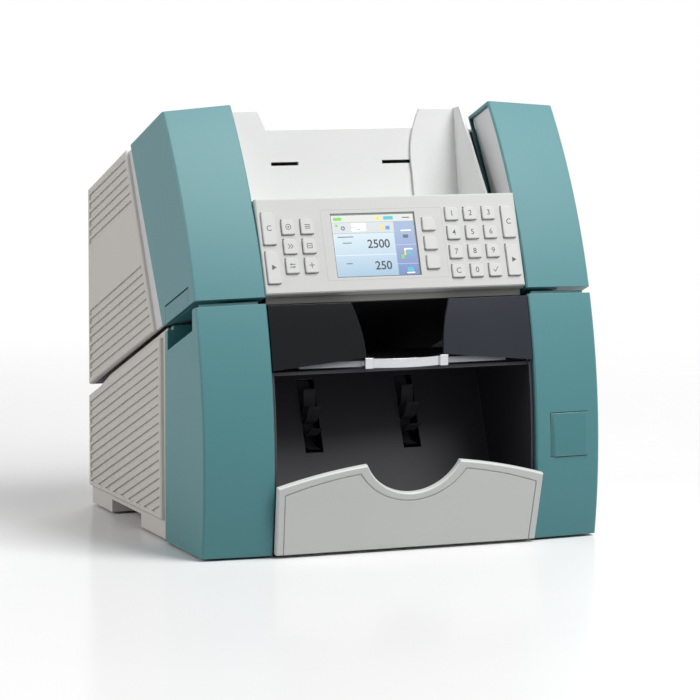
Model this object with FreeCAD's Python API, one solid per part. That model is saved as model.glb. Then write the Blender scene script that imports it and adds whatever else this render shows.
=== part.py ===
import FreeCAD, Part
import math
import os

from FreeCAD import Vector

# Desktop counting machine: a lower housing with a stacker pocket, and a hinged head with a hopper and keypad.
# Sizes are in millimetres. Y is measured from the front edge of the wings and Z from the table, and each
# piece is moved as it is written so that the origin lies at the bottom centre of the whole machine.

# Overall envelope
HALF_WIDTH = 166.0            # outer face of the raised side panels
REAR_Y = 290.0                # rear face of the housing
WING_STEP = 0.6               # the raised panels stand out past the wings by this much
PANEL_RAISE = 3.2             # and past the housing shells by this much
WING_SIDE_X = HALF_WIDTH - WING_STEP    # outer face of the front wings and cheeks
WING_INNER_X = 109.2          # inner face of the front wings and cheeks
SHELL_X = HALF_WIDTH - PANEL_RAISE      # side of the housing shells under the raised panels
GROUND_GAP = 2.0              # the housing stands this far above the table on its feet
WALL = 2.5                    # moulded wall thickness

# Front surface: one large radius in side view, bowed a little in plan
FRONT_RADIUS = 434.0
FRONT_CENTRE_Y = 429.0
FRONT_CENTRE_Z = 65.0
BOW_RADIUS = 1940.0

# Parting plane between head and lower housing
TILT = 20.3                   # the parting plane and the ribs rise towards the front
PARTING_REAR_Z = 96.0
HEAD_GAP = 2.5                # clearance of the head above the parting plane
BASE_GAP = 3.0                # clearance of the lower housing below it

# Lower wings
WING_REAR_Y = 92.0
WING_WALL = 3.0
WING_EDGE = 1.4               # bevel of the front edges of wings and cheeks
NECK_INSET = 5.0              # step behind the front groove, under the cheek
RECESS_Y = (28.0, 86.0)       # finger recess under the release lever
RECESS_HEIGHT = 19.0
RECESS_DEPTH = 24.0

# Cheeks of the head
CHEEK_REAR_OUTER = ((175.7, 307.3), (97.6, 169.6))
CHEEK_REAR_INNER = ((135.8, 326.4), (45.5, 188.9))
CHEEK_TOP_OUTER = (95.0, 337.5)
CHEEK_TOP_INNER = (96.0, 341.5)
CHEEK_TOP_SLOPE = 0.385
CORE_GAP = 0.4
SIDE_REACH = 10.0             # the side walls of the head reach this far under the cheeks
DECK_DROP = 1.5
UNDERPLATE_FRONT_Y = 41.0
UNDERPLATE_LIP = 18.0

# Release levers in the cheeks
LEVER_Y = (37.5, 91.0)
LEVER_HEIGHT = 13.5
LEVER_THICKNESS = 3.5
LEVER_GAP = 1.5
LEVER_SIDE_GAP = 0.5
LEVER_PIN_RADIUS = 1.5
PIN_CLEARANCE = 0.08

# Raised side panels with ribs
PANEL_GROOVE = 4.5            # half of the groove between the upper and lower panels
PANEL_BEVEL = 1.0
PANEL_REAR_Y = REAR_Y - 3.0
RIB_PITCH = 6.9
RIB_WIDTH = 2.5
RIB_DEPTH = 1.3
RIB_BORDER = 4.0
LOWER_PANEL_Z = 17.0
LOWER_PANEL_FRONT_Y = 101.0
UPPER_PANEL_FRONT = ((188.0, 301.5), (119.0, 161.0))
PLAIN_BAND = (66.0, 118.0)    # flat band of the upper panels, above the parting plane

# Base shell
CORNER = 1.8                  # bevel of the rear corners of both housings
NOTCH_Y = (160.0, 235.0)
NOTCH_HEIGHT = 10.5
NOTCH_DEPTH = 26.0
FOOT_RADIUS = 9.0
FOOT_POCKET = 2.0
FOOT_INSET = 17.8             # middle of a foot from the side of the shell
FOOT_POSITIONS = ((SHELL_X - FOOT_INSET, 112.0), (SHELL_X - FOOT_INSET, 262.0))
LIP_HEIGHT = 5.0
INLET_SIZE = (27.6, 20.2)
INLET_POS = (-86.0, 46.0)
INLET_DEPTH = 18.0
VENT_COUNT = 9
VENT_SIZE = (62.0, 3.0)
VENT_PITCH = 6.5
VENT_POS = (70.0, 30.0)

# Stacker pocket
POCKET_X = 106.5
POCKET_WALL = 2.2
POCKET_SETBACK = 4.0          # side walls stand behind the front plate
POCKET_FLOOR_Z = GROUND_GAP + 2 * WALL
SHELF_Z = 139.0
SHELF_THICKNESS = 2.5
SHELF_SETBACK = 9.0
POCKET_BACK_TOP_Y = 118.0
POCKET_BACK_FOOT_Y = 64.0
WHEEL_SLOT = 15.0

# Stacker front plate
PLATE_THICKNESS = 4.5
PLATE_FOOT_Y = -2.0
PLATE_LEAN = 11.3
PLATE_FOOT_X = 108.6
PLATE_CORNER_X = 110.6
PLATE_CORNER_S = 54.0
PLATE_PEAK_X = 38.7
PLATE_PEAK_S = 69.0
PLATE_NOTCH_S = 44.5
PLATE_RIM = 5.5
PLATE_GROOVE = 0.8
PLATE_GROOVE_DEPTH = 1.0
PLATE_LEDGE = 14.0
PLATE_EDGE = 1.0

# Reject pocket covers and their pull
COVER_TOP_Z = 192.4
COVER_OUTER_X = 108.4
COVER_INNER_TOP_X = 41.0
COVER_INNER_FOOT_X = 32.4
COVER_FOOT_OUTER_Z = 143.4
COVER_FOOT_INNER_Z = 151.0
COVER_INSET = 0.8
COVER_THICKNESS = 2.4
COVER_PIN_RADIUS = 1.5
COVER_AXIS = (21.6, 189.4)
COVER_PIN_REACH = 2.6
BAR_X = (35.0, 86.0)
BAR_SIZE = (3.4, 4.2)
BAR_Z = 146.0
STRAP_THICKNESS = 1.6
STRAP_HEIGHT = 7.0
STRAP_BOW = 7.5
STRAP_END = 6.5
STRAP_Z = 146.5

# Control panel
PANEL_X = 108.6
PANEL_FOOT = (20.7, 200.5)
PANEL_LENGTH = 75.0
PANEL_LEAN = 19.4
PANEL_THICKNESS = 3.0
PANEL_SKIRT = 9.0
SKIRT_WALL = 1.5
PANEL_EDGE = 0.8
PANEL_CHIN = (26.0, 197.2)
SCREEN_U = (-48.5, 21.9)
SCREEN_MARGIN = (11.0, 13.2)  # from the foot and the top of the panel
SCREEN_V = (SCREEN_MARGIN[0], PANEL_LENGTH - SCREEN_MARGIN[1])
SCREEN_RECESS = 0.9
SCREEN_DEPTH = 3.4
SCREEN_BORDER = 3.0
KEY_SIZE = 10.3
KEY_ROWS = 4
KEY_MARGIN = (7.8, 10.9)      # number block from the foot and the top of the panel
KEY_PITCH = (PANEL_LENGTH - sum(KEY_MARGIN) - KEY_SIZE) / (KEY_ROWS - 1)
FUNCTION_SPACE = 3.6          # between two function keys
TALL_SPACE = 5.3              # between two tall keys
TALL_MARGIN = 3.0             # tall keys from the sides of the panel
KEY_GAP = 0.35
KEY_PROUD = 2.0
KEY_FLANGE = 1.0
KEY_FLANGE_DEPTH = 1.2
KEY_TRAVEL = 1.2
KEY_SEAT = 0.2
KEY_EDGE = 0.4
KEY_CORNER = 0.9
BOARD_THICKNESS = 1.6
BOARD_MARGIN = 4.0

# Hopper
HOPPER_BACK_FOOT = (134.0, 250.0)
HOPPER_BACK_TOP = (145.5, 318.0)
HOPPER_FRONT = (54.0, 244.0)
HOPPER_X = 108.4
HOPPER_WALL = 2.6
SLOT_X = (36.0, 104.0)
SLOT_Z = 291.0
SLOT_HEIGHT = 2.8
GUIDE_SIDE_X = 100.0
GUIDE_WALL = 2.2
GUIDE_WING_X = 61.0
GUIDE_TOP_X = 70.0
GUIDE_TOP_Z = 333.0
GUIDE_FRONT = ((134.0, 335.0), (80.0, 268.0))
GUIDE_TAB = (88.0, 96.0)
GUIDE_TRAVEL = 45.0
GUIDE_GAP = 0.4
FEED_AXIS = (72.0, 237.5)
FEED_ROLLER_RADIUS = 9.5
FEED_ROLLER_WIDTH = 16.0
FEED_ROLLER_X = (-34.0, 0.0, 34.0)
FEED_SLOT_GAP = 1.5

# Drive train
SHAFT_RADIUS = 4.0
SHAFT_CLEARANCE = 0.06
DRUM_SIDES = 14
FRAME_X = 110.6
FRAME_THICKNESS = 2.0
FRAME_FRONT_Y = 100.0
HINGE_AXIS = (282.0, 103.0)
HINGE_STUD = 9.0
HINGE_EAR = 7.0
STACK_AXIS = (118.0, 86.0)
STACK_WHEEL_RADIUS = 34.0
STACK_HUB_RADIUS = 13.0
STACK_WHEEL_WIDTH = 10.0
STACK_WHEEL_X = 42.0
STACK_FINS = 12
FIN_THICKNESS = 1.4
ROLL_AXIS = (170.0, 123.0)
ROLL_RADIUS = 12.0
ROLL_WIDTH = 18.0
ROLL_X = (-72.0, -24.0, 24.0, 72.0)
MOTOR_AXIS = (222.0, 52.0)
MOTOR_RADIUS = 21.0
MOTOR_LENGTH = 58.0
PULLEY_WIDTH = 7.0
PULLEY_X = 116.0
ROLL_PULLEY = 15.0
STACK_PULLEY = 17.0
MOTOR_PULLEY = 9.0
BELT_THICKNESS = 1.6
BELT_GAP = 0.3

# Power button in the right wing
BUTTON_MARGIN = (12.8, 11.0)  # from the inner and the outer face of the wing
BUTTON_X = (WING_INNER_X + BUTTON_MARGIN[0], WING_SIDE_X - BUTTON_MARGIN[1])
BUTTON_Z = (66.4, 100.6)
BUTTON_GAP = 0.5
BUTTON_PROUD = 0.8
BUTTON_DEPTH = 5.0
BUTTON_TRAVEL = 2.0
BUTTON_FLANGE = 2.0

# Derived places
SLOPE = math.tan(math.radians(TILT))
LEAN = math.radians(PANEL_LEAN)
PLATE_ANGLE = math.radians(PLATE_LEAN)
PLATE_TIP_Y = PLATE_FOOT_Y - (PLATE_PEAK_S - PLATE_EDGE) * math.sin(PLATE_ANGLE)
CENTRE_Y = (PLATE_TIP_Y + REAR_Y) / 2.0
WING_MID_X = (WING_INNER_X + WING_SIDE_X) / 2.0
COVER_MID_X = (COVER_INNER_FOOT_X + COVER_OUTER_X) / 2.0
FAR = 400.0                   # reach of cutting blocks


def parting_z(y, offset=0.0):
    """Height of the parting plane at a depth y, moved up by offset."""
    return PARTING_REAR_Z + (REAR_Y - y) * SLOPE + offset


def box(x, y, z):
    """Block between two values on each axis."""
    size = [high - low for low, high in (x, y, z)]
    return Part.makeBox(*size, Vector(x[0], y[0], z[0]))


def face_of(points):
    """Flat face inside a closed run of points."""
    return Part.Face(Part.makePolygon(list(points) + [points[0]]))


def prism_x(outline, x_low, x_high):
    """Side outline of (y, z) points drawn out along X."""
    face = face_of([Vector(x_low, y, z) for y, z in outline])
    return face.extrude(Vector(x_high - x_low, 0, 0))


def prism_y(outline, y_low, y_high):
    """Front outline of (x, z) points drawn out along Y."""
    face = face_of([Vector(x, y_low, z) for x, z in outline])
    return face.extrude(Vector(0, y_high - y_low, 0))


def rod(axis, x_low, x_high, radius):
    """Round bar along X about an axis at (y, z)."""
    return Part.makeCylinder(radius, x_high - x_low, Vector(x_low, axis[0], axis[1]), Vector(1, 0, 0))


def drum(axis, x_low, x_high, radius):
    """Many-sided roller along X about an axis at (y, z)."""
    turns = [2 * math.pi * number / DRUM_SIDES for number in range(DRUM_SIDES)]
    outline = [(axis[0] + radius * math.cos(turn), axis[1] + radius * math.sin(turn)) for turn in turns]
    return prism_x(outline, x_low, x_high)


def spindle(axis, x_low, x_high, low_journal, high_journal):
    """Shaft along X that is turned round only where it runs in its bearings."""
    return [rod(axis, x_low, x_low + low_journal, SHAFT_RADIUS),
            drum(axis, x_low + low_journal, x_high - high_journal, SHAFT_RADIUS),
            rod(axis, x_high - high_journal, x_high, SHAFT_RADIUS)]


def peg(x, y, z_low, z_high, radius):
    """Many-sided upright peg."""
    turns = [2 * math.pi * number / DRUM_SIDES for number in range(DRUM_SIDES)]
    rim = [Vector(x + radius * math.cos(turn), y + radius * math.sin(turn), z_low) for turn in turns]
    return face_of(rim).extrude(Vector(0, 0, z_high - z_low))


def mirrored(shape):
    """The same piece on the other side of the machine."""
    return shape.mirror(Vector(0, 0, 0), Vector(1, 0, 0))


def joined(shapes):
    """One solid from pieces that meet."""
    first, *others = shapes
    return first.fuse(others).removeSplitter()


def inset(outline, distance):
    """A convex outline with each edge moved inwards by a distance."""
    area = sum(a[0] * b[1] - b[0] * a[1] for a, b in zip(outline, outline[1:] + outline[:1]))
    turn = 1.0 if area > 0 else -1.0
    lines = []
    for (y0, z0), (y1, z1) in zip(outline, outline[1:] + outline[:1]):
        length = math.hypot(y1 - y0, z1 - z0)
        normal = (-(z1 - z0) * turn / length, (y1 - y0) * turn / length)
        lines.append((normal, normal[0] * y0 + normal[1] * z0 + distance))
    corners = []
    for (n0, c0), (n1, c1) in zip(lines[-1:] + lines[:-1], lines):
        det = n0[0] * n1[1] - n0[1] * n1[0]
        corners.append(((c0 * n1[1] - c1 * n0[1]) / det, (n0[0] * c1 - n1[0] * c0) / det))
    return corners


def bow_angle(x_mid):
    """Turn of the front surface in plan, in degrees, where it follows the bow at a width."""
    return math.degrees(math.asin(x_mid / BOW_RADIUS))


def front_body(depth=0.0, x_mid=0.0):
    """Solid behind the front surface, drawn in by a depth and turned to follow the bow at a width."""
    radius = FRONT_RADIUS - depth
    low, high = -20.0, 380.0

    def point(z):
        return Vector(-FAR, FRONT_CENTRE_Y - math.sqrt(radius ** 2 - (z - FRONT_CENTRE_Z) ** 2), z)

    arc = Part.Arc(point(low), point(FRONT_CENTRE_Z), point(high)).toShape()
    back = [point(high), Vector(-FAR, FAR, high), Vector(-FAR, FAR, low), point(low)]
    profile = Part.Face(Part.Wire([arc] + Part.makePolygon(back).Edges))
    body = profile.extrude(Vector(2 * FAR, 0, 0))
    body.rotate(Vector(0, BOW_RADIUS, 0), Vector(0, 0, 1), bow_angle(x_mid))
    return body


def front_y(x, z, depth=0.0, x_mid=0.0):
    """Depth of the front surface at a point, drawn in by a depth and turned as the solid behind it."""
    radius = FRONT_RADIUS - depth
    turn = math.radians(bow_angle(x_mid))
    reach = FRONT_CENTRE_Y - math.sqrt(radius ** 2 - (z - FRONT_CENTRE_Z) ** 2) - BOW_RADIUS
    across = (x + reach * math.sin(turn)) / math.cos(turn)
    return BOW_RADIUS + across * math.sin(turn) + reach * math.cos(turn)


def above_parting(offset):
    """Block over the parting plane."""
    outline = [(-FAR, parting_z(-FAR, offset)), (FAR, parting_z(FAR, offset)), (FAR, FAR), (-FAR, FAR)]
    return prism_x(outline, -FAR, FAR)


def below_parting(offset):
    """Block under the parting plane."""
    outline = [(-FAR, -FAR), (FAR, -FAR), (FAR, parting_z(FAR, offset)), (-FAR, parting_z(-FAR, offset))]
    return prism_x(outline, -FAR, FAR)


def edges_where(shape, test):
    """Edges of a shape that pass a test at both ends and in the middle."""
    picked = []
    for edge in shape.Edges:
        span = edge.LastParameter - edge.FirstParameter
        if all(test(edge.valueAt(edge.FirstParameter + span * part)) for part in (0.02, 0.5, 0.98)):
            picked.append(edge)
    return picked


def side_bevel(x_edge, side):
    """Cone that takes the front edge off one side of a right-hand wing or cheek."""
    reach = WING_SIDE_X - WING_INNER_X + 2.0
    foot = front_y(x_edge, FRONT_CENTRE_Z, 0.0, WING_MID_X) + FRONT_RADIUS
    start = FRONT_RADIUS - WING_EDGE - 1.0
    return Part.makeCone(start, start + reach, reach, Vector(x_edge + side, foot, FRONT_CENTRE_Z),
                         Vector(-side, 0, 0))


def bevelled(shape):
    """A right-hand wing or cheek with both front edges bevelled."""
    return shape.common(side_bevel(WING_SIDE_X, 1)).common(side_bevel(WING_INNER_X, -1))


def eased(shape, width, test):
    """The shape with the edges that pass a test bevelled."""
    return shape.makeChamfer(width, edges_where(shape, test))


def bearing_hole(axis, x_low, x_high, radius=SHAFT_RADIUS):
    """Hole for a shaft that turns."""
    return rod(axis, x_low, x_high, radius + SHAFT_CLEARANCE)


# Ribbed side panels
def rib_field(outline, anchor_z, skip=None):
    """Grooves between inclined ribs inside an outline, cut into the outer face of a right-hand panel."""
    field = prism_x(inset(outline, RIB_BORDER), HALF_WIDTH - RIB_DEPTH, HALF_WIDTH + 1)
    grooves = []
    step = RIB_PITCH / math.cos(math.radians(TILT))
    width = (RIB_PITCH - RIB_WIDTH) / math.cos(math.radians(TILT))
    for number in range(-40, 41):
        offset = anchor_z + number * step
        if skip and skip[0] < offset < skip[1]:
            continue
        strip = [(y, parting_z(y, offset + dz)) for y,
                 dz in ((-FAR, 0), (FAR, 0), (FAR, width), (-FAR, width))]
        cut = field.common(prism_x(strip, HALF_WIDTH - RIB_DEPTH, HALF_WIDTH + 1))
        grooves += [solid for solid in cut.Solids if solid.Volume > RIB_DEPTH * RIB_PITCH ** 2]
    return grooves


def raised_plate(outline):
    """Side plate with a bevel round its outer face."""
    plate = prism_x(outline, SHELL_X, HALF_WIDTH)
    return plate.makeChamfer(PANEL_BEVEL, edges_where(plate,
                                                      lambda point: abs(point.x - HALF_WIDTH) < 0.01))


def lower_panel():
    """Raised ribbed panel on the right side of the lower housing."""
    outline = [(LOWER_PANEL_FRONT_Y, LOWER_PANEL_Z), (PANEL_REAR_Y, LOWER_PANEL_Z),
               (PANEL_REAR_Y, parting_z(PANEL_REAR_Y, -PANEL_GROOVE)),
               (LOWER_PANEL_FRONT_Y + 3, parting_z(LOWER_PANEL_FRONT_Y + 3, -PANEL_GROOVE))]
    return raised_plate(outline).cut(rib_field(outline, -PANEL_GROOVE - RIB_BORDER))


def upper_outline():
    """Side outline of the raised upper panel."""
    (top_y, top_z), (foot_y, _) = UPPER_PANEL_FRONT
    return [(foot_y, parting_z(foot_y, PANEL_GROOVE)),
            (PANEL_REAR_Y, parting_z(PANEL_REAR_Y, PANEL_GROOVE)),
            (PANEL_REAR_Y, top_z - (PANEL_REAR_Y - top_y) * CHEEK_TOP_SLOPE), (top_y, top_z)]


def upper_panel():
    """Raised panel on the right side of the head, ribbed above and below a plain band."""
    outline = upper_outline()
    return raised_plate(outline).cut(rib_field(outline, PANEL_GROOVE + RIB_BORDER, PLAIN_BAND))


# Lower housing
def base_shell():
    """Open-topped moulding with the floor, both sides and the rear wall."""
    inner_x = SHELL_X - WALL
    inner_rear = REAR_Y - WALL
    block = box((-SHELL_X, SHELL_X), (WING_REAR_Y, REAR_Y), (GROUND_GAP, FAR / 2))
    block = eased(block, CORNER, lambda point: (
        abs(point.y - REAR_Y) < 0.01 and abs(abs(point.x) - SHELL_X) < 0.01))
    hollow = box((-inner_x, inner_x), (WING_REAR_Y - 1, inner_rear), (GROUND_GAP + WALL, FAR))
    shell = block.cut(hollow).common(below_parting(-BASE_GAP))
    lip_outline = [(FRAME_FRONT_Y, parting_z(FRAME_FRONT_Y, -BASE_GAP - 12)),
                   (inner_rear, parting_z(inner_rear, -BASE_GAP - 12)),
                   (inner_rear, parting_z(inner_rear, -BASE_GAP)),
                   (inner_rear - 40, parting_z(inner_rear - 40, LIP_HEIGHT - BASE_GAP)),
                   (FRAME_FRONT_Y, parting_z(FRAME_FRONT_Y, LIP_HEIGHT - BASE_GAP))]
    lip = prism_x(lip_outline, inner_x - WALL, inner_x)
    shell = joined([shell, lip, mirrored(lip)])
    notch_roof = GROUND_GAP + NOTCH_HEIGHT
    for side in (-1, 1):
        x_edges = sorted((side * (SHELL_X - NOTCH_DEPTH), side * (SHELL_X + 1)))
        cover = sorted((side * (SHELL_X - NOTCH_DEPTH - WALL), side * (SHELL_X - WALL)))
        hood = box(cover, (NOTCH_Y[0] - WALL, NOTCH_Y[1] + WALL), (GROUND_GAP, notch_roof + WALL))
        shell = shell.fuse(hood).cut(box(x_edges, NOTCH_Y, (GROUND_GAP - 1, notch_roof)))
        for x, y in FOOT_POSITIONS:
            reach = FOOT_RADIUS + WALL
            pad = box((side * x - reach, side * x + reach), (y - reach, y + reach),
                      (GROUND_GAP, GROUND_GAP + FOOT_POCKET + WALL))
            seat = peg(side * x, y, 0.0, FOOT_POCKET + GROUND_GAP, FOOT_RADIUS)
            shell = shell.fuse(pad).cut(seat)
    half_w, half_h = (size / 2 + KEY_GAP for size in INLET_SIZE)
    shell = shell.cut(box((INLET_POS[0] - half_w, INLET_POS[0] + half_w), (inner_rear - 1, REAR_Y + 1),
                          (INLET_POS[1] - half_h, INLET_POS[1] + half_h)))
    for number in range(VENT_COUNT):
        z = VENT_POS[1] + number * VENT_PITCH
        shell = shell.cut(box((VENT_POS[0] - VENT_SIZE[0] / 2, VENT_POS[0] + VENT_SIZE[0] / 2),
                              (inner_rear - 1, REAR_Y + 1), (z, z + VENT_SIZE[1])))
    return shell.removeSplitter()


def rubber_feet():
    """Four round feet pressed into the floor."""
    radius = FOOT_RADIUS - PIN_CLEARANCE
    return Part.makeCompound([peg(side * x, y, 0.0, GROUND_GAP + FOOT_POCKET, radius)
                              for x, y in FOOT_POSITIONS for side in (-1, 1)])


def wing_block(inset_depth):
    """Right wing outline filled in, drawn in from the front, the sides and the foot by a depth."""
    block = box((WING_INNER_X + inset_depth, WING_SIDE_X - inset_depth), (-60, WING_REAR_Y),
                (GROUND_GAP + inset_depth, FAR))
    return block.common(front_body(inset_depth,
                                   WING_MID_X)).common(below_parting(-BASE_GAP - inset_depth))


def finger_recess(grow=0.0):
    """Space under the release lever where the fingers go in."""
    near, far = RECESS_Y[0] - grow, RECESS_Y[1] + grow
    floor = -RECESS_HEIGHT - grow
    outline = [(near, parting_z(near, floor)), (far, parting_z(far, floor)),
               (far, parting_z(far, FAR)), (near, parting_z(near, FAR))]
    return prism_x(outline, WING_SIDE_X - RECESS_DEPTH - grow, WING_SIDE_X + 2)


def wing(with_button):
    """Front wing of the right side: a shell with the finger recess, the neck and the cover pivot."""
    outside = bevelled(wing_block(0.0))
    shell = outside.cut(wing_block(WING_WALL).fuse(
        box((WING_INNER_X + WING_WALL, WING_SIDE_X - WING_WALL), (WING_REAR_Y - 8, WING_REAR_Y + 1),
            (GROUND_GAP + WING_WALL, parting_z(WING_REAR_Y, -BASE_GAP - 2 * WING_WALL)))))
    pocket_wall = outside.common(finger_recess(WING_WALL))
    shell = shell.fuse(pocket_wall)
    neck_block = box((WING_INNER_X + NECK_INSET, WING_SIDE_X - NECK_INSET), (-60, WING_REAR_Y),
                     (GROUND_GAP, FAR))
    neck = neck_block.common(front_body(NECK_INSET, WING_MID_X)).common(below_parting(0.5)).common(
        above_parting(-BASE_GAP - WING_WALL))
    shell = shell.fuse(neck).cut(finger_recess())
    shell = shell.cut(rod(COVER_AXIS, WING_INNER_X - 1, WING_INNER_X + COVER_PIN_REACH + 1,
                          COVER_PIN_RADIUS + PIN_CLEARANCE))
    if with_button:
        shell = shell.cut(button_window())
    return shell.removeSplitter()


def button_window():
    """Opening in the right wing for the power button."""
    return box((BUTTON_X[0] - BUTTON_GAP, BUTTON_X[1] + BUTTON_GAP), (-60, WING_WALL + 20),
               (BUTTON_Z[0] - BUTTON_GAP, BUTTON_Z[1] + BUTTON_GAP))


def power_button():
    """Square push button that follows the front surface, with a retaining flange behind the wall."""
    cap = box(BUTTON_X, (-60, 60), BUTTON_Z)
    cap = cap.common(front_body(-BUTTON_PROUD, WING_MID_X)).cut(front_body(BUTTON_DEPTH, WING_MID_X))
    bevel = BUTTON_PROUD + 0.6
    edge = min(vertex.Y for vertex in cap.Vertexes)
    slope = [(BUTTON_X[0] - 1, edge - 5), (BUTTON_X[0] + 5, edge - 5), (BUTTON_X[0] + 5, edge),
             (BUTTON_X[0] - 1, edge + 2 * bevel)]
    wedge = face_of([Vector(x, y, BUTTON_Z[0] - 1) for x, y in slope]).extrude(
        Vector(0, 0, BUTTON_Z[1] - BUTTON_Z[0] + 2))
    flange = box((BUTTON_X[0] - BUTTON_FLANGE, BUTTON_X[1] + BUTTON_FLANGE), (-60, 60),
                 (BUTTON_Z[0] - BUTTON_FLANGE, BUTTON_Z[1] + BUTTON_FLANGE))
    flange = flange.common(front_body(WING_WALL + KEY_SEAT, WING_MID_X)).cut(front_body(BUTTON_DEPTH,
                                                                                        WING_MID_X))
    return joined([cap.cut(wedge), flange])


# Stacker pocket and its front plate
def pocket_back(y_shift=0.0):
    """Side outline of the sloping back wall of the pocket."""
    foot = (POCKET_BACK_FOOT_Y + y_shift, POCKET_FLOOR_Z)
    top = (POCKET_BACK_TOP_Y + y_shift, SHELF_Z)
    return foot, top


def wheel_x():
    """Places of the two stacker wheels along their shaft."""
    return (-STACK_WHEEL_X, STACK_WHEEL_X)


def stacker_pocket():
    """Dark liner: side walls, floor, sloping back wall and the floor of the reject pocket."""
    wall_outline = [(-60, POCKET_FLOOR_Z - WALL), (POCKET_BACK_TOP_Y + 2, POCKET_FLOOR_Z - WALL),
                    (POCKET_BACK_TOP_Y + 2, SHELF_Z + SHELF_THICKNESS), (-60, SHELF_Z + SHELF_THICKNESS)]
    outer = POCKET_X + POCKET_WALL
    low_wall = prism_x(wall_outline, POCKET_X, outer).common(front_body(POCKET_SETBACK, POCKET_X))
    high_outline = [(-60, SHELF_Z), (POCKET_BACK_TOP_Y + 2, SHELF_Z), (POCKET_BACK_TOP_Y + 2, FAR),
                    (-60, FAR)]
    high_wall = prism_x(high_outline, POCKET_X,
                        outer).common(front_body(SHELF_SETBACK,
                                                 POCKET_X)).common(below_parting(-BASE_GAP))
    walls = joined([low_wall, high_wall]).cut(rod(STACK_AXIS, POCKET_X - 1, outer + 1,
                                                  SHAFT_RADIUS + 2.0))
    floor = box((-outer, outer), (PLATE_LEDGE, POCKET_BACK_FOOT_Y + WALL),
                (POCKET_FLOOR_Z - WALL, POCKET_FLOOR_Z))
    shelf = box((-outer, outer), (-60, POCKET_BACK_TOP_Y + 2),
                (SHELF_Z, SHELF_Z + SHELF_THICKNESS)).common(front_body(SHELF_SETBACK))
    foot, top = pocket_back()
    foot_rear, top_rear = pocket_back(WALL)
    back = prism_x([foot, foot_rear, top_rear, top], -outer, outer)
    clear = STACK_WHEEL_RADIUS + 2.0
    for x in wheel_x():
        half = WHEEL_SLOT / 2
        back = back.cut(rod(STACK_AXIS, x - half, x + half, clear))
    return joined([walls, mirrored(walls), floor, shelf, back])


def plate_point(x, s, depth=0.0):
    """Point of the leaning front plate: x across, s up its face, depth behind the face."""
    y = PLATE_FOOT_Y - s * math.sin(PLATE_ANGLE) + depth * math.cos(PLATE_ANGLE)
    z = GROUND_GAP + 0.6 + s * math.cos(PLATE_ANGLE) + depth * math.sin(PLATE_ANGLE)
    return Vector(x, y, z)


def plate_face(edge, depth):
    """Outline of the front plate, drawn in by an edge width, as a face at a depth behind the front."""
    rise = (PLATE_PEAK_S - PLATE_CORNER_S) / (PLATE_CORNER_X - PLATE_PEAK_X)
    corner = (PLATE_CORNER_X - edge, PLATE_CORNER_S - edge)
    peak = (PLATE_PEAK_X + edge * 0.9, PLATE_PEAK_S - edge * 1.12)
    middle = ((corner[0] + peak[0]) / 2, (corner[1] + peak[1]) / 2 + 1.6)
    notch = (0.0, PLATE_NOTCH_S - edge)
    foot = (PLATE_FOOT_X - edge, 0.0)

    def at(point, side=1):
        return plate_point(side * point[0], point[1], depth)

    edges = [Part.LineSegment(at(foot, -1), at(foot)).toShape(),
             Part.LineSegment(at(foot), at(corner)).toShape(),
             Part.Arc(at(corner), at(middle), at(peak)).toShape(),
             Part.Arc(at(peak), at(notch), at(peak, -1)).toShape(),
             Part.Arc(at(peak, -1), at(middle, -1), at(corner, -1)).toShape(),
             Part.LineSegment(at(corner, -1), at(foot, -1)).toShape()]
    return Part.Face(Part.Wire(edges))


def stacker_front():
    """White front plate with a thumb notch, a rim line round its face and a ledge on the pocket floor."""
    inward = plate_point(0, 0, 1) - plate_point(0, 0, 0)
    plate = plate_face(0.0, 0.0).extrude(inward * PLATE_THICKNESS)
    plate = plate.makeChamfer(PLATE_EDGE, edges_where(plate, lambda point: (
        abs((point - plate_point(0, 0)).dot(inward)) < 0.01 and point.z > plate_point(0, 1).z)))
    outer = plate_face(PLATE_RIM, -1.0).extrude(inward * (1.0 + PLATE_GROOVE_DEPTH))
    inner = plate_face(PLATE_RIM + PLATE_GROOVE, -1.0).extrude(inward * (1.0 + PLATE_GROOVE_DEPTH))
    ledge = box((-POCKET_X + CORE_GAP, POCKET_X - CORE_GAP), (PLATE_FOOT_Y + 2.0, PLATE_LEDGE),
                (GROUND_GAP + 0.6, POCKET_FLOOR_Z))
    return joined([plate.cut(outer.cut(inner)), ledge])


# Reject pocket covers
def reject_cover():
    """Right-hand smoked cover that follows the front surface, with its pivot pin."""
    middle = ((COVER_INNER_TOP_X + COVER_INNER_FOOT_X) / 2 - 2.0, (COVER_TOP_Z + COVER_FOOT_INNER_Z) / 2)
    corners = [(COVER_INNER_FOOT_X, COVER_FOOT_INNER_Z), (COVER_OUTER_X, COVER_FOOT_OUTER_Z),
               (COVER_OUTER_X, COVER_TOP_Z), (COVER_INNER_TOP_X, COVER_TOP_Z)]
    points = [Vector(x, -60, z) for x, z in corners]
    edges = [Part.LineSegment(a, b).toShape() for a, b in zip(points, points[1:])]
    edges.append(Part.Arc(points[-1], Vector(middle[0], -60, middle[1]), points[0]).toShape())
    outline = Part.Face(Part.Wire(edges)).extrude(Vector(0, 160, 0))
    plate = outline.common(front_body(COVER_INSET, COVER_MID_X))
    plate = plate.cut(front_body(COVER_INSET + COVER_THICKNESS, COVER_MID_X))
    barrel = drum(COVER_AXIS, COVER_INNER_TOP_X + 2, COVER_OUTER_X, COVER_PIN_RADIUS + 0.7)
    pin = rod(COVER_AXIS, COVER_OUTER_X - 2, WING_INNER_X + COVER_PIN_REACH, COVER_PIN_RADIUS)
    return joined([plate, barrel, pin])


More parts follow.
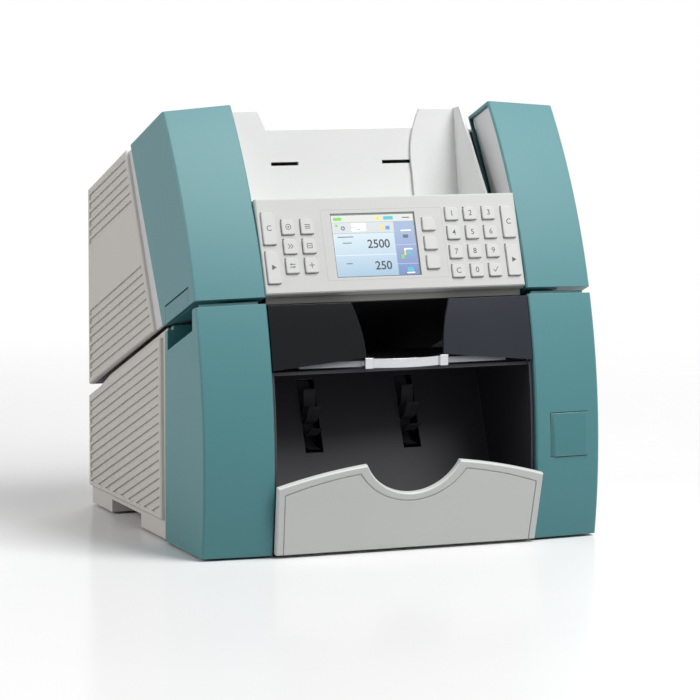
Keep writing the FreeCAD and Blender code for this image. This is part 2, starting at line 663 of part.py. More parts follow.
def stop_bars():
    """Clear bars along the inner foot of both covers."""
    bar = box(BAR_X, (-60, 60), (BAR_Z - BAR_SIZE[1] / 2, BAR_Z + BAR_SIZE[1] / 2))
    back = COVER_INSET + COVER_THICKNESS
    bar = bar.common(front_body(back, COVER_MID_X)).cut(front_body(back + BAR_SIZE[0], COVER_MID_X))
    return Part.makeCompound([bar, mirrored(bar)])


def reject_bracket():
    """Bright pull: a strap bowed forwards between two end blocks that hold the covers."""
    end_x = COVER_INNER_FOOT_X + 2.0
    end_y = front_y(end_x, STRAP_Z, COVER_INSET + COVER_THICKNESS, COVER_MID_X)
    low, high = STRAP_Z - STRAP_HEIGHT / 2, STRAP_Z + STRAP_HEIGHT / 2

    def bow(depth):
        ends = [Vector(side * (end_x - STRAP_END / 2), end_y - 2.0 + depth, low) for side in (-1, 1)]
        return ends[0], Vector(0, end_y - 2.0 - STRAP_BOW + depth, low), ends[1]

    front, rear = bow(0.0), bow(STRAP_THICKNESS)
    edges = [Part.Arc(*front).toShape(), Part.LineSegment(front[2], rear[2]).toShape(),
             Part.Arc(*reversed(rear)).toShape(), Part.LineSegment(rear[0], front[0]).toShape()]
    strap = Part.Face(Part.Wire(edges)).extrude(Vector(0, 0, STRAP_HEIGHT))
    block = box((end_x - STRAP_END, end_x), (end_y - 5.0, end_y + 4.0), (low - 0.4, high + 0.8))
    block = block.cut(reject_cover())
    tongue = box((end_x - 3.0, BAR_X[0]), (end_y + 0.4, end_y + 3.0), (BAR_Z - 1.6, BAR_Z + 1.6))
    tongue = tongue.common(front_body(COVER_INSET + COVER_THICKNESS, COVER_MID_X))
    return joined([strap, block, mirrored(block), tongue, mirrored(tongue)])


# Head
def cheek_outline(inner, reach=0.0):
    """Side outline of a cheek at its inner or outer face, open to the front and drawn out rearwards."""
    top_y, foot_y = (corner[0] + reach for corner in (CHEEK_REAR_INNER if inner else CHEEK_REAR_OUTER))
    near_y, near_z = CHEEK_TOP_INNER if inner else CHEEK_TOP_OUTER

    def top(y):
        return near_z - CHEEK_TOP_SLOPE * (y - near_y)

    return [(-60, parting_z(-60, HEAD_GAP)), (foot_y, parting_z(foot_y, HEAD_GAP)), (top_y, top(top_y)),
            (-60, top(-60))]


def cheek_body(depth, x_low, x_high, reach=0.0):
    """Right cheek filled in between its two outlines, drawn in by a depth."""
    wires = []
    for inner, x in ((True, x_low), (False, x_high)):
        points = [Vector(x, y, z) for y, z in inset(cheek_outline(inner, reach), depth)]
        wires.append(Part.makePolygon(points + [points[0]]))
    return Part.makeLoft(wires, True, True).common(front_body(depth, WING_MID_X))


def lever_outline(grow=0.0, gap=0.0):
    """Side outline of the release lever at the foot of the cheek."""
    near, far = LEVER_Y[0] - grow, LEVER_Y[1] + grow
    foot, top = HEAD_GAP, HEAD_GAP + LEVER_HEIGHT + gap
    return [(near, parting_z(near, foot - grow)), (far, parting_z(far, foot - grow)),
            (far, parting_z(far, top)), (near, parting_z(near, top))]


def lever_axis():
    """Pivot of the release lever near its front end."""
    y = LEVER_Y[0] + 5.0
    return y, parting_z(y, HEAD_GAP + LEVER_HEIGHT / 2)


def cheek():
    """Teal cover of the right cheek, open towards the hopper, with the pocket of the release lever."""
    shell = bevelled(cheek_body(0.0, WING_INNER_X, WING_SIDE_X))
    hollow = cheek_body(WALL, WING_INNER_X - 1, WING_SIDE_X - WALL).fuse(
        cheek_body(WALL, WING_INNER_X + 2 * WALL, WING_SIDE_X - WALL, 20.0))
    pocket = prism_x(lever_outline(LEVER_SIDE_GAP, LEVER_GAP),
                     WING_SIDE_X - LEVER_THICKNESS - LEVER_SIDE_GAP, FAR)
    backing = prism_x(lever_outline(WALL, LEVER_GAP + WALL), WING_SIDE_X - LEVER_THICKNESS - WALL,
                      WING_SIDE_X)
    backing = backing.common(cheek_body(0.0, WING_INNER_X, WING_SIDE_X))
    pin = rod(lever_axis(), WING_SIDE_X - LEVER_THICKNESS - WALL, WING_SIDE_X - 1.0, LEVER_PIN_RADIUS)
    return joined([shell.cut(hollow).fuse(backing).cut(pocket), pin])


def release_lever():
    """Grip plate at the foot of the right cheek, pivoted near its front end."""
    plate = prism_x(lever_outline(), WING_SIDE_X - LEVER_THICKNESS, WING_SIDE_X)
    return plate.cut(rod(lever_axis(), WING_SIDE_X - LEVER_THICKNESS - 1, WING_SIDE_X - 0.8,
                         LEVER_PIN_RADIUS + PIN_CLEARANCE))


def deck_z(y):
    """Height of the sloping deck of the head at a depth."""
    near_y, near_z = CHEEK_TOP_OUTER
    return near_z - CHEEK_TOP_SLOPE * (y - near_y) - DECK_DROP


def rear_corner(point):
    """Whether a point lies on an outer edge of the rear wall of the head."""
    upright = abs(abs(point.x) - SHELL_X) < 0.01
    return abs(point.y - REAR_Y) < 0.01 and (upright or abs(point.z - deck_z(REAR_Y)) < 0.01)


def head_shell():
    """Light moulding of the head: sides, rear wall, sloping deck and the cores inside both cheeks."""
    foot = HEAD_GAP + WALL + CORE_GAP
    (top_y, _), (foot_y, _) = ((y - SIDE_REACH, z) for y, z in CHEEK_REAR_OUTER)
    join_y = CHEEK_REAR_OUTER[0][0] + CORE_GAP
    side = prism_x([(foot_y, parting_z(foot_y, foot)), (REAR_Y, parting_z(REAR_Y, foot)),
                    (REAR_Y, deck_z(REAR_Y)),
                    (join_y, deck_z(join_y)), (join_y, deck_z(join_y) - 2 * WALL),
                    (top_y, deck_z(top_y) - 2 * WALL)],
                   SHELL_X - WALL, SHELL_X)
    deck_y = HOPPER_BACK_TOP[0] + HOPPER_WALL + CORE_GAP
    deck = prism_x([(deck_y, deck_z(deck_y)), (REAR_Y, deck_z(REAR_Y)), (REAR_Y, deck_z(REAR_Y) - WALL),
                    (deck_y, deck_z(deck_y) - WALL)], -SHELL_X, SHELL_X)
    clearance = cheek_body(-CORE_GAP, WING_INNER_X - CORE_GAP, WING_SIDE_X + CORE_GAP)
    deck = deck.cut([clearance, mirrored(clearance)])
    rear = box((-SHELL_X, SHELL_X), (REAR_Y - WALL, REAR_Y), (parting_z(REAR_Y, foot), deck_z(REAR_Y)))
    depth = WALL + CORE_GAP
    core = cheek_body(depth, WING_INNER_X + WALL, WING_SIDE_X - depth)
    core = core.cut(cheek_body(depth + WALL, WING_INNER_X + 2 * WALL, WING_SIDE_X))
    lever_room = prism_x(lever_outline(2 * WALL, LEVER_GAP + 2 * WALL),
                         WING_SIDE_X - LEVER_THICKNESS - WALL - CORE_GAP, FAR)
    flank = joined([side, core]).cut(lever_room)
    arm_x = FRAME_X + FRAME_THICKNESS + CORE_GAP
    arm = box((arm_x, arm_x + HINGE_STUD - 2), (HINGE_AXIS[0] - HINGE_EAR, REAR_Y),
              (HINGE_AXIS[1] - 3, HINGE_AXIS[1] + 16))
    arm = arm.common(above_parting(HEAD_GAP + WALL)).cut(bearing_hole(HINGE_AXIS, arm_x - 1, FAR))
    shell = joined([deck, rear, flank, mirrored(flank), arm, mirrored(arm)])
    return eased(shell, CORNER, rear_corner)


def head_underplate():
    """Dark transport plate that closes the head from below."""
    front, rear = UNDERPLATE_FRONT_Y, HINGE_AXIS[0] - HINGE_EAR - CORE_GAP

    def slab(y_low, y_high, half_width):
        low, high = HEAD_GAP, HEAD_GAP + WALL
        return prism_x([(y_low, parting_z(y_low, low)), (y_high, parting_z(y_high, low)),
                        (y_high, parting_z(y_high, high)), (y_low, parting_z(y_low, high))], -half_width,
                        half_width)

    lip = box((-POCKET_X, POCKET_X), (front, front + WALL),
              (parting_z(front + WALL, HEAD_GAP), parting_z(front, HEAD_GAP + UNDERPLATE_LIP)))
    return joined([slab(front, rear, POCKET_X), lip,
                   slab(rear - 20, rear, FRAME_X + FRAME_THICKNESS + HINGE_STUD - 4)])


# Control panel, keys and display
def panel_point(u, v, w=0.0):
    """Point of the control panel: u across, v up its face, w behind the face."""
    return Vector(u, PANEL_FOOT[0] + v * math.sin(LEAN) + w * math.cos(LEAN),
                  PANEL_FOOT[1] + v * math.cos(LEAN) - w * math.sin(LEAN))


def panel_block(u, v, w):
    """Block on the control panel's own axes."""
    corners = [panel_point(x, y, w[0]) for x, y in ((u[0], v[0]), (u[1], v[0]), (u[1], v[1]),
                                                    (u[0], v[1]))]
    return face_of(corners).extrude(panel_point(0, 0, w[1]) - panel_point(0, 0, w[0]))


def grid(columns, rows, width, height):
    """Key places as (u range, v range), row by row from the top."""
    return [((u, u + width), (v, v + height)) for v in rows for u in columns]


def key_rows(count, low, step):
    """Lower edges of a column of keys, from the top down."""
    return [low + step * number for number in reversed(range(count))]


def key_places():
    """Every key of the panel by name."""
    low = KEY_MARGIN[0]
    digits = grid((47.6, 63.3, 79.0), key_rows(KEY_ROWS, low, KEY_PITCH), KEY_SIZE, KEY_SIZE)
    names = ["key_digit_%d" % n for n in range(1, 10)] + ["key_cancel", "key_digit_0", "key_confirm"]
    places = dict(zip(names, digits))
    middle_rows = key_rows(KEY_ROWS - 1, low + KEY_PITCH / 2, KEY_PITCH)
    functions = grid((-89.8, -74.1), middle_rows, KEY_SIZE, KEY_PITCH - FUNCTION_SPACE)
    places.update({"key_function_%d" % (n + 1): place for n, place in enumerate(functions)})
    soft = grid((27.2,), middle_rows, KEY_SIZE, KEY_SIZE)
    places.update({"key_soft_%d" % (n + 1): place for n, place in enumerate(soft)})
    edge = PANEL_X - TALL_MARGIN
    for side, column in (("left", -edge), ("right", edge - KEY_SIZE)):
        tall_rows = key_rows(KEY_ROWS // 2, low, 2 * KEY_PITCH)
        clear, start = grid((column,), tall_rows, KEY_SIZE, 2 * KEY_PITCH - TALL_SPACE)
        places["key_clear_" + side] = clear
        places["key_start_" + side] = start
    return places


def grown(span, amount):
    """A range made wider at both ends."""
    return span[0] - amount, span[1] + amount


def key(u, v):
    """One key: a cap with eased edges and a flange behind the panel."""
    inward = panel_point(0, 0, 1) - panel_point(0, 0)
    cap = panel_block(u, v, (-KEY_PROUD, PANEL_THICKNESS + KEY_SEAT + KEY_FLANGE_DEPTH))
    posts = [edge for edge in cap.Edges if abs(edge.tangentAt(edge.FirstParameter).dot(inward)) > 0.99]
    cap = cap.makeChamfer(KEY_CORNER, posts)
    cap = cap.makeChamfer(KEY_EDGE, edges_where(cap, lambda point: (
        abs((point - panel_point(0, 0, -KEY_PROUD)).dot(inward)) < 1e-6)))
    flange = panel_block(grown(u, KEY_FLANGE), grown(v, KEY_FLANGE),
                         (PANEL_THICKNESS + KEY_SEAT, PANEL_THICKNESS + KEY_SEAT + KEY_FLANGE_DEPTH))
    return joined([cap, flange])


def control_panel():
    """Light fascia with windows for the keys and the display, a chin below and a skirt behind."""
    (chin_y, chin_z) = PANEL_CHIN
    top_front, top_rear = panel_point(0, PANEL_LENGTH), panel_point(0, PANEL_LENGTH, PANEL_SKIRT)
    foot = panel_point(0, 0)
    outer = [(foot.y, foot.z), (top_front.y, top_front.z), (top_rear.y, top_rear.z),
             (chin_y + PANEL_SKIRT, chin_z), (chin_y, chin_z)]
    block = prism_x(outer, -PANEL_X, PANEL_X)
    block = eased(block, PANEL_EDGE, lambda point: abs((point - foot).dot(panel_point(0, 0,
                                                                                      1) - foot)) < 0.01)
    hollow = panel_block((-PANEL_X + SKIRT_WALL, PANEL_X - SKIRT_WALL), (WALL, PANEL_LENGTH - WALL),
                         (PANEL_THICKNESS, 3 * PANEL_SKIRT))
    panel = block.cut(hollow)
    windows = [panel_block(grown(u, KEY_GAP), grown(v, KEY_GAP), (-1, PANEL_THICKNESS + 1)) for u,
               v in key_places().values()]
    windows.append(panel_block(SCREEN_U, SCREEN_V, (-1, PANEL_THICKNESS + 1)))
    return panel.cut(windows)


def display():
    """Display module: its glass fills the window from behind."""
    glass = panel_block(grown(SCREEN_U, -KEY_SEAT), grown(SCREEN_V, -KEY_SEAT),
                        (SCREEN_RECESS, PANEL_THICKNESS))
    body = panel_block(grown(SCREEN_U, SCREEN_BORDER), grown(SCREEN_V, SCREEN_BORDER),
                       (PANEL_THICKNESS, PANEL_THICKNESS + SCREEN_DEPTH))
    return joined([glass, body])


def board_depth():
    """Depth of the key board behind the panel face, below the keys at the end of their travel."""
    return PANEL_THICKNESS + KEY_SEAT + KEY_FLANGE_DEPTH + KEY_TRAVEL + KEY_SEAT


def keypad_board():
    """Circuit board behind the keys, with a cut-out for the display module."""
    depth = board_depth()
    board = panel_block((-PANEL_X + WALL + 0.2, PANEL_X - WALL - 0.2),
                        (WALL + 0.2, PANEL_LENGTH - WALL - 0.2),
                        (depth, depth + BOARD_THICKNESS))
    hole = panel_block(grown(SCREEN_U, SCREEN_BORDER + 0.3), grown(SCREEN_V, SCREEN_BORDER + 0.3),
                       (0, 3 * PANEL_SKIRT))
    return board.cut(hole)


# Hopper
def back_y(z, behind=0.0):
    """Depth of the hopper's back plate at a height."""
    (foot_y, foot_z), (top_y, top_z) = HOPPER_BACK_FOOT, HOPPER_BACK_TOP
    return foot_y + (z - foot_z) * (top_y - foot_y) / (top_z - foot_z) + behind


def hopper_bed():
    """Bed and back plate of the hopper, slotted for the guides and the feed rollers."""
    (front_edge, front_z), (foot_y, foot_z), (top_y,
                                              top_z) = HOPPER_FRONT, HOPPER_BACK_FOOT, HOPPER_BACK_TOP
    outline = [(front_edge, front_z), (foot_y, foot_z), (top_y, top_z), (top_y + HOPPER_WALL, top_z),
               (foot_y + HOPPER_WALL, foot_z - HOPPER_WALL), (front_edge, front_z - HOPPER_WALL)]
    bed = prism_x(outline, -HOPPER_X, HOPPER_X)
    for side in (-1, 1):
        span = sorted((side * SLOT_X[0], side * SLOT_X[1]))
        bed = bed.cut(box(span, (foot_y - 5, top_y + 10),
                          (SLOT_Z - SLOT_HEIGHT / 2, SLOT_Z + SLOT_HEIGHT / 2)))
    reach = FEED_ROLLER_RADIUS + FEED_SLOT_GAP
    for x in FEED_ROLLER_X:
        half = FEED_ROLLER_WIDTH / 2 + FEED_SLOT_GAP
        bed = bed.cut(box((x - half, x + half), (FEED_AXIS[0] - reach, FEED_AXIS[0] + reach),
                          (front_z - 10, foot_z + 10)))
    hanger = box((-HOPPER_X, -HOPPER_X + HOPPER_WALL), (FEED_AXIS[0] - 9, FEED_AXIS[0] + 9),
                 (FEED_AXIS[1] - 9, bed_z(FEED_AXIS[0]) - 0.5))
    hanger = hanger.cut(bearing_hole(FEED_AXIS, -HOPPER_X - 1, 0))
    return joined([bed, hanger, mirrored(hanger)])


def bed_z(y):
    """Height of the hopper bed at a depth."""
    (y0, z0), (y1, z1) = HOPPER_FRONT, HOPPER_BACK_FOOT
    return z0 + (y - y0) * (z1 - z0) / (y1 - y0)


def hopper_guide():
    """Right-hand guide: a side wall, a wing in front of the back plate and the tab in its slot."""
    (top_y, top_z), (foot_y, foot_z) = GUIDE_FRONT
    low_z = HOPPER_BACK_FOOT[1] + 1.0
    rear_low, rear_top = back_y(low_z, -GUIDE_GAP), back_y(GUIDE_TOP_Z, -GUIDE_GAP)
    side_outline = [(foot_y - 6, low_z), (rear_low, low_z), (rear_top, GUIDE_TOP_Z), (top_y, top_z),
                    (foot_y, foot_z)]
    side = prism_x(side_outline, GUIDE_SIDE_X, GUIDE_SIDE_X + GUIDE_WALL)
    corner = Vector(GUIDE_TOP_X, 0, GUIDE_TOP_Z)
    foot_in = Vector(GUIDE_WING_X, 0, SLOT_Z - 8)
    bend = Vector(GUIDE_WING_X + 1.2, 0, (SLOT_Z + GUIDE_TOP_Z) / 2)
    low_in, low_out = Vector(GUIDE_WING_X + 1, 0, low_z), Vector(GUIDE_SIDE_X + GUIDE_WALL, 0, low_z)
    top_out = Vector(GUIDE_SIDE_X + GUIDE_WALL, 0, GUIDE_TOP_Z)
    edges = [Part.Arc(corner, bend, foot_in).toShape()]
    run = [foot_in, low_in, low_out, top_out, corner]
    edges += [Part.LineSegment(a, b).toShape() for a, b in zip(run, run[1:])]
    front_view = Part.Face(Part.Wire(edges)).extrude(Vector(0, FAR, 0))
    slab = prism_x([(rear_low - GUIDE_WALL, low_z), (rear_low, low_z), (rear_top, GUIDE_TOP_Z),
                    (rear_top - GUIDE_WALL, GUIDE_TOP_Z)], 0, FAR)
    wing_plate = front_view.common(slab)
    tab_y = back_y(SLOT_Z)
    tab = box(GUIDE_TAB, (tab_y - GUIDE_WALL, tab_y + HOPPER_WALL + GUIDE_GAP + 2.2),
              (SLOT_Z - SLOT_HEIGHT / 2 + GUIDE_GAP, SLOT_Z + SLOT_HEIGHT / 2 - GUIDE_GAP))
    keeper_y = back_y(SLOT_Z + 4, HOPPER_WALL + GUIDE_GAP)
    keeper = box(GUIDE_TAB, (keeper_y, keeper_y + 2), (SLOT_Z - 4, SLOT_Z + 4))
    return joined([side, wing_plate, tab, keeper])


def feed_roller():
    """Feed shaft with three rubber rollers under the hopper bed."""
    journal = HOPPER_WALL + 3.0
    shaft = spindle(FEED_AXIS, -HOPPER_X - 0.6, HOPPER_X + 0.6, journal, journal)
    rolls = []
    for x in FEED_ROLLER_X:
        half = FEED_ROLLER_WIDTH / 2
        rolls.append(drum(FEED_AXIS, x - half, x + half, FEED_ROLLER_RADIUS))
    return joined(shaft + rolls)


# Drive train
def side_frames():
    """Two steel plates that carry the shafts, the motor and the hinge studs of the head."""
    rear = REAR_Y - WALL - 1.0
    low = GROUND_GAP + WALL
    outline = [(FRAME_FRONT_Y, low), (rear, low), (rear, parting_z(rear, -BASE_GAP - 3)),
               (FRAME_FRONT_Y, parting_z(FRAME_FRONT_Y, -BASE_GAP - 3))]
    x_low, x_high = FRAME_X, FRAME_X + FRAME_THICKNESS
    plate = prism_x(outline, x_low, x_high)
    ear = drum(HINGE_AXIS, x_low, x_high, HINGE_EAR - 2.0)
    neck = box((x_low, x_high), (HINGE_AXIS[0] - HINGE_EAR + 2, HINGE_AXIS[0] + 1),
               (low + 40, HINGE_AXIS[1]))
    stud = rod(HINGE_AXIS, x_high - 0.5, x_high + HINGE_STUD, SHAFT_RADIUS)
    plate = joined([plate, ear, neck, stud])
    for axis in (STACK_AXIS, ROLL_AXIS):
        plate = plate.cut(bearing_hole(axis, x_low - 1, x_high + 1))
    left = mirrored(plate)
    plate = plate.cut(drum(MOTOR_AXIS, x_low - 1, x_high + 1, MOTOR_PULLEY - 1.0))
    return Part.makeCompound([plate, left])


def stacker_wheels():
    """Shaft with two vaned stacker wheels and its belt pulley."""
    end = FRAME_X + FRAME_THICKNESS
    pieces = spindle(STACK_AXIS, -end - 3, PULLEY_X + 1.0, FRAME_THICKNESS + 5.0, PULLEY_X - FRAME_X + 3.0)
    pieces.append(drum(STACK_AXIS, PULLEY_X, PULLEY_X + PULLEY_WIDTH, STACK_PULLEY))
    y, z = STACK_AXIS
    for x in wheel_x():
        low = x - STACK_WHEEL_WIDTH / 2
        pieces.append(drum(STACK_AXIS, low, low + STACK_WHEEL_WIDTH, STACK_HUB_RADIUS))
        for number in range(STACK_FINS):
            fin = vane(low)
            fin.rotate(Vector(low, y, z), Vector(1, 0, 0), 360.0 * number / STACK_FINS)
            pieces.append(fin)
    return joined(pieces)


def vane(x_low):
    """One bent vane of a stacker wheel."""
    y, z = STACK_AXIS
    root, tip = STACK_HUB_RADIUS - 1.0, STACK_WHEEL_RADIUS
    sweep = 0.45 * tip

    def edge(offset):
        return [(y + offset, z + root), (y + offset + sweep * 0.28, z + (root + tip) * 0.5),
                (y + offset + sweep, z + math.sqrt(tip ** 2 - (sweep + FIN_THICKNESS) ** 2))]

    return prism_x(edge(0.0) + edge(FIN_THICKNESS)[::-1], x_low, x_low + STACK_WHEEL_WIDTH)


def transport_roller():
    """Lower transport shaft with four rollers and its belt pulley."""
    end = FRAME_X + FRAME_THICKNESS
    pieces = spindle(ROLL_AXIS, -end - 3, PULLEY_X + 1.0, FRAME_THICKNESS + 5.0, PULLEY_X - FRAME_X + 3.0)
    pieces.append(drum(ROLL_AXIS, PULLEY_X, PULLEY_X + PULLEY_WIDTH, ROLL_PULLEY))
    for x in ROLL_X:
        pieces.append(drum(ROLL_AXIS, x - ROLL_WIDTH / 2, x + ROLL_WIDTH / 2, ROLL_RADIUS))
    return joined(pieces)


def drive_motor():
    """Motor can bolted to the inside of the right frame."""
    can = drum(MOTOR_AXIS, FRAME_X - MOTOR_LENGTH, FRAME_X, MOTOR_RADIUS)
    nose = drum(MOTOR_AXIS, FRAME_X - MOTOR_LENGTH - 6, FRAME_X - MOTOR_LENGTH, MOTOR_RADIUS * 0.5)
    hole = rod(MOTOR_AXIS, FRAME_X - 8, FRAME_X + 1, SHAFT_RADIUS * 0.75 + SHAFT_CLEARANCE)
    return joined([can, nose]).cut(hole)


def motor_pulley():
    """Small pulley on the motor shaft."""
    shaft = rod(MOTOR_AXIS, FRAME_X - 8, PULLEY_X, SHAFT_RADIUS * 0.75)
    return joined([shaft, drum(MOTOR_AXIS, PULLEY_X, PULLEY_X + PULLEY_WIDTH, MOTOR_PULLEY)])


def pulley_hull(extra):
    """Outline round the three pulleys, as a tight loop of arcs and tangents, as a face."""
    circles = [(STACK_AXIS, STACK_PULLEY + extra), (MOTOR_AXIS, MOTOR_PULLEY + extra),
               (ROLL_AXIS, ROLL_PULLEY + extra)]
    x = PULLEY_X + 1.0
    tangents = []
    for (c0, r0), (c1, r1) in zip(circles, circles[1:] + circles[:1]):
        dy, dz = c1[0] - c0[0], c1[1] - c0[1]
        span = math.hypot(dy, dz)
        lean = math.acos((r0 - r1) / span)
        angle = math.atan2(dz, dy) - lean
        ray = (math.cos(angle), math.sin(angle))
        tangents.append((Vector(x, c0[0] + r0 * ray[0], c0[1] + r0 * ray[1]),
                         Vector(x, c1[0] + r1 * ray[0], c1[1] + r1 * ray[1])))
    edges = []
    for number, (start, end) in enumerate(tangents):
        edges.append(Part.LineSegment(start, end).toShape())
        centre, radius = circles[(number + 1) % 3]
        leave = tangents[(number + 1) % 3][0]
        a0 = math.atan2(end.z - centre[1], end.y - centre[0])
        a1 = math.atan2(leave.z - centre[1], leave.y - centre[0])
        while a1 < a0:
            a1 += 2 * math.pi
        mid = (a0 + a1) / 2
        middle = Vector(x, centre[0] + radius * math.cos(mid), centre[1] + radius * math.sin(mid))
        edges.append(Part.Arc(end, middle, leave).toShape())
    return Part.Face(Part.Wire(edges))


def drive_belt():
    """Flat belt round the motor, stacker and transport pulleys."""
    width = Vector(PULLEY_WIDTH - 2.0, 0, 0)
    return pulley_hull(BELT_GAP + BELT_THICKNESS).extrude(width).cut(pulley_hull(BELT_GAP).extrude(width))


def power_inlet():
    """Mains inlet in the rear wall with three blades."""
    x, z = INLET_POS
    half_w, half_h = INLET_SIZE[0] / 2, INLET_SIZE[1] / 2
    rear = REAR_Y - 0.5
    body = box((x - half_w, x + half_w), (rear - INLET_DEPTH, rear), (z - half_h, z + half_h))
    inner = prism_y([(x - half_w + 2, z - half_h + 2), (x + half_w - 2, z - half_h + 2),
                     (x + half_w - 2, z + half_h - 7),
                     (x + half_w - 7, z + half_h - 2), (x - half_w + 7, z + half_h - 2),
                     (x - half_w + 2, z + half_h - 7)],
                    rear - INLET_DEPTH + 2, rear + 1)
    flange = box((x - half_w - 3, x + half_w + 3), (REAR_Y - WALL - 1.5, REAR_Y - WALL),
                 (z - half_h - 3, z + half_h + 3))
    blades = [box((bx - 1, bx + 1), (rear - INLET_DEPTH + 1, rear - 4), (bz - 2, bz + 2))
              for bx, bz in ((x - 7, z - 2), (x, z + 2), (x + 7, z - 2))]
    return joined([joined([body, flange]).cut(inner)] + blades)


def build():
    """Every piece of the machine by name."""
    right_cover, right_cheek, lever, guide = reject_cover(), cheek(), release_lever(), hopper_guide()
    low_panel, high_panel = lower_panel(), upper_panel()
    pieces = {
        "base_shell": base_shell(), "rubber_feet": rubber_feet(),
        "lower_right_panel": low_panel, "lower_left_panel": mirrored(low_panel),
        "right_wing": wing(True), "left_wing": mirrored(wing(False)), "power_button": power_button(),
        "stacker_pocket": stacker_pocket(), "stacker_front": stacker_front(),
        "reject_cover_right": right_cover, "reject_cover_left": mirrored(right_cover),
        "reject_bracket": reject_bracket(), "reject_stop_bars": stop_bars(),
        "right_cheek": right_cheek, "left_cheek": mirrored(right_cheek),
        "release_lever_right": lever, "release_lever_left": mirrored(lever),
        "head_shell": head_shell(), "head_underplate": head_underplate(),
        "upper_right_panel": high_panel, "upper_left_panel": mirrored(high_panel),
        "control_panel": control_panel(), "display": display(), "keypad_board": keypad_board(),
        "hopper_bed": hopper_bed(), "hopper_guide_right": guide, "hopper_guide_left": mirrored(guide),
        "feed_roller": feed_roller(), "side_frames": side_frames(), "stacker_wheels": stacker_wheels(),
        "transport_roller": transport_roller(), "drive_motor": drive_motor(),
        "motor_pulley": motor_pulley(),
        "drive_belt": drive_belt(), "power_inlet": power_inlet(),
    }
    pieces.update({name: key(u, v) for name, (u, v) in key_places().items()})
    return pieces


def main():
    """Writes each piece to its own file, about the bottom centre of the machine."""
    os.makedirs("parts", exist_ok=True)
    for name, shape in build().items():
        shape.translate(Vector(0, -CENTRE_Y, 0))
        print(name, len(shape.Solids), "solids", round(shape.Volume / 1000.0, 1), "cm3", shape.isValid())
        shape.exportStep(os.path.join("parts", name + ".step"))
    print("centre", round(CENTRE_Y, 3))


main()
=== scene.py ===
"""Dressed scene of a desktop counting machine with a hinged head.

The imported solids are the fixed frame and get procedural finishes. The small pieces that the solids leave
out are modelled here: signs on the keys and the display, screws, a dust filter, covers and fine seams.
"""

import logging
import math
from dataclasses import dataclass, field
from enum import Enum
from typing import Any

import bpy
from mathutils import Matrix, Vector


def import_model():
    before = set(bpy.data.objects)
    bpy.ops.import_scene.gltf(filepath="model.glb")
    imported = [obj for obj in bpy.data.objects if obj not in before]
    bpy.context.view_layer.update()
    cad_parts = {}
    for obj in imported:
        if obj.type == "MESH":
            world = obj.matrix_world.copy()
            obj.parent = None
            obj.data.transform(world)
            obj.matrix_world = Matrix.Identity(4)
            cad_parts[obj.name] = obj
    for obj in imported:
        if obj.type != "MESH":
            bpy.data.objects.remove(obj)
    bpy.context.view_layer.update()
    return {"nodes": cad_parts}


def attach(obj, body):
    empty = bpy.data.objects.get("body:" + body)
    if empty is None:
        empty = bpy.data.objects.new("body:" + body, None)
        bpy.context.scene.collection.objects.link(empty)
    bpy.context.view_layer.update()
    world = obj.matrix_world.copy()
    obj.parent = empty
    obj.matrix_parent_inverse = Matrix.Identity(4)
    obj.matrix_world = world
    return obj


LOG = logging.getLogger("counting_machine")
MM = 0.001
CENTRE_Y = 137.338          # mm from the front edge of the wings to the middle of the whole machine
PANEL_FOOT_Y = 20.7
PANEL_FOOT_Z = 200.5
PANEL_TILT = math.radians(19.4)
KEY_PROUD = 2.0             # mm that a key stands out of the panel
PRINT_SINK = 0.02           # mm that a printed mark sinks into what carries it
PRINT_THICKNESS = 0.08
DIGIT_SHARE = 0.7           # height of a digit as a share of its letter size
FLUSH = 0.01                # mm within which two heights count as one
REAR_Y = 290.0
PARTING_Z = 96.0            # mm from the table to the rear end of the parting line
EDGE_SAMPLES = 4            # rays that look for an edge near a point
EDGE_WEAR_AND_HIGHLIGHT_SPAN = (0.02, 0.35)     # how far a normal turns where edge wear and painted edge highlight start and where they are full
STROKE_ROUND = 0.45         # rounding of a stroke's ends as a share of its width
WAVE_LENGTH = 0.314         # metres from band to band of a wave pattern of scale one
WHITE = (1.0, 1.0, 1.0, 1.0)

Colour = tuple[float, float, float, float]
Triple = tuple[float, float, float]
Pair = tuple[float, float]
Sizes = tuple[float, float, float, float]
Names = tuple[str, ...]


def linear(code: str) -> Colour:
    """Linear colour of a web colour code.

    Args:
        code: Six hexadecimal digits.

    Returns:
        Red, green, blue and an alpha of one.
    """
    shades = [int(code[place:place + 2], 16) / 255.0 for place in (0, 2, 4)]
    parts = [shade / 12.92 if shade <= 0.04045 else ((shade + 0.055) / 1.055) ** 2.4 for shade in shades]
    return parts[0], parts[1], parts[2], 1.0


def scaled(colour: Colour, factor: float) -> Colour:
    """The colour made darker or lighter by a factor."""
    return tuple(min(1.0, part * factor) for part in colour[:3]) + (1.0,)


def paler(colour: Colour, share: float) -> Colour:
    """The colour brought towards white by a share."""
    return tuple(part + (1.0 - part) * share for part in colour[:3]) + (1.0,)


def point(x: float, y: float, z: float) -> Vector:
    """A point in the shared frame, from millimetres behind the front edge of the wings."""
    return Vector((x, y - CENTRE_Y, z)) * MM


@dataclass(frozen=True)
class Seat:
    """A flat place that a small piece is set on.

    Attributes:
        origin: Middle of the place, in metres.
        right: Direction that a piece's own X takes.
        up: Direction that a piece's own Y takes.
    """

    origin: Vector
    right: Vector
    up: Vector

    def matrix(self) -> Matrix:
        """Matrix that carries a piece from the bench to its seat."""
        turn = Matrix((self.right, self.up, self.right.cross(self.up))).transposed()
        return Matrix.Translation(self.origin) @ turn.to_4x4()

    def turned(self, degrees: float) -> "Seat":
        """The same seat turned about its own normal.

        Args:
            degrees: Turn, anticlockwise as seen from outside.

        Returns:
            The turned seat.
        """
        turn = math.radians(degrees)
        right = self.right * math.cos(turn) + self.up * math.sin(turn)
        return Seat(self.origin, right, self.up * math.cos(turn) - self.right * math.sin(turn))


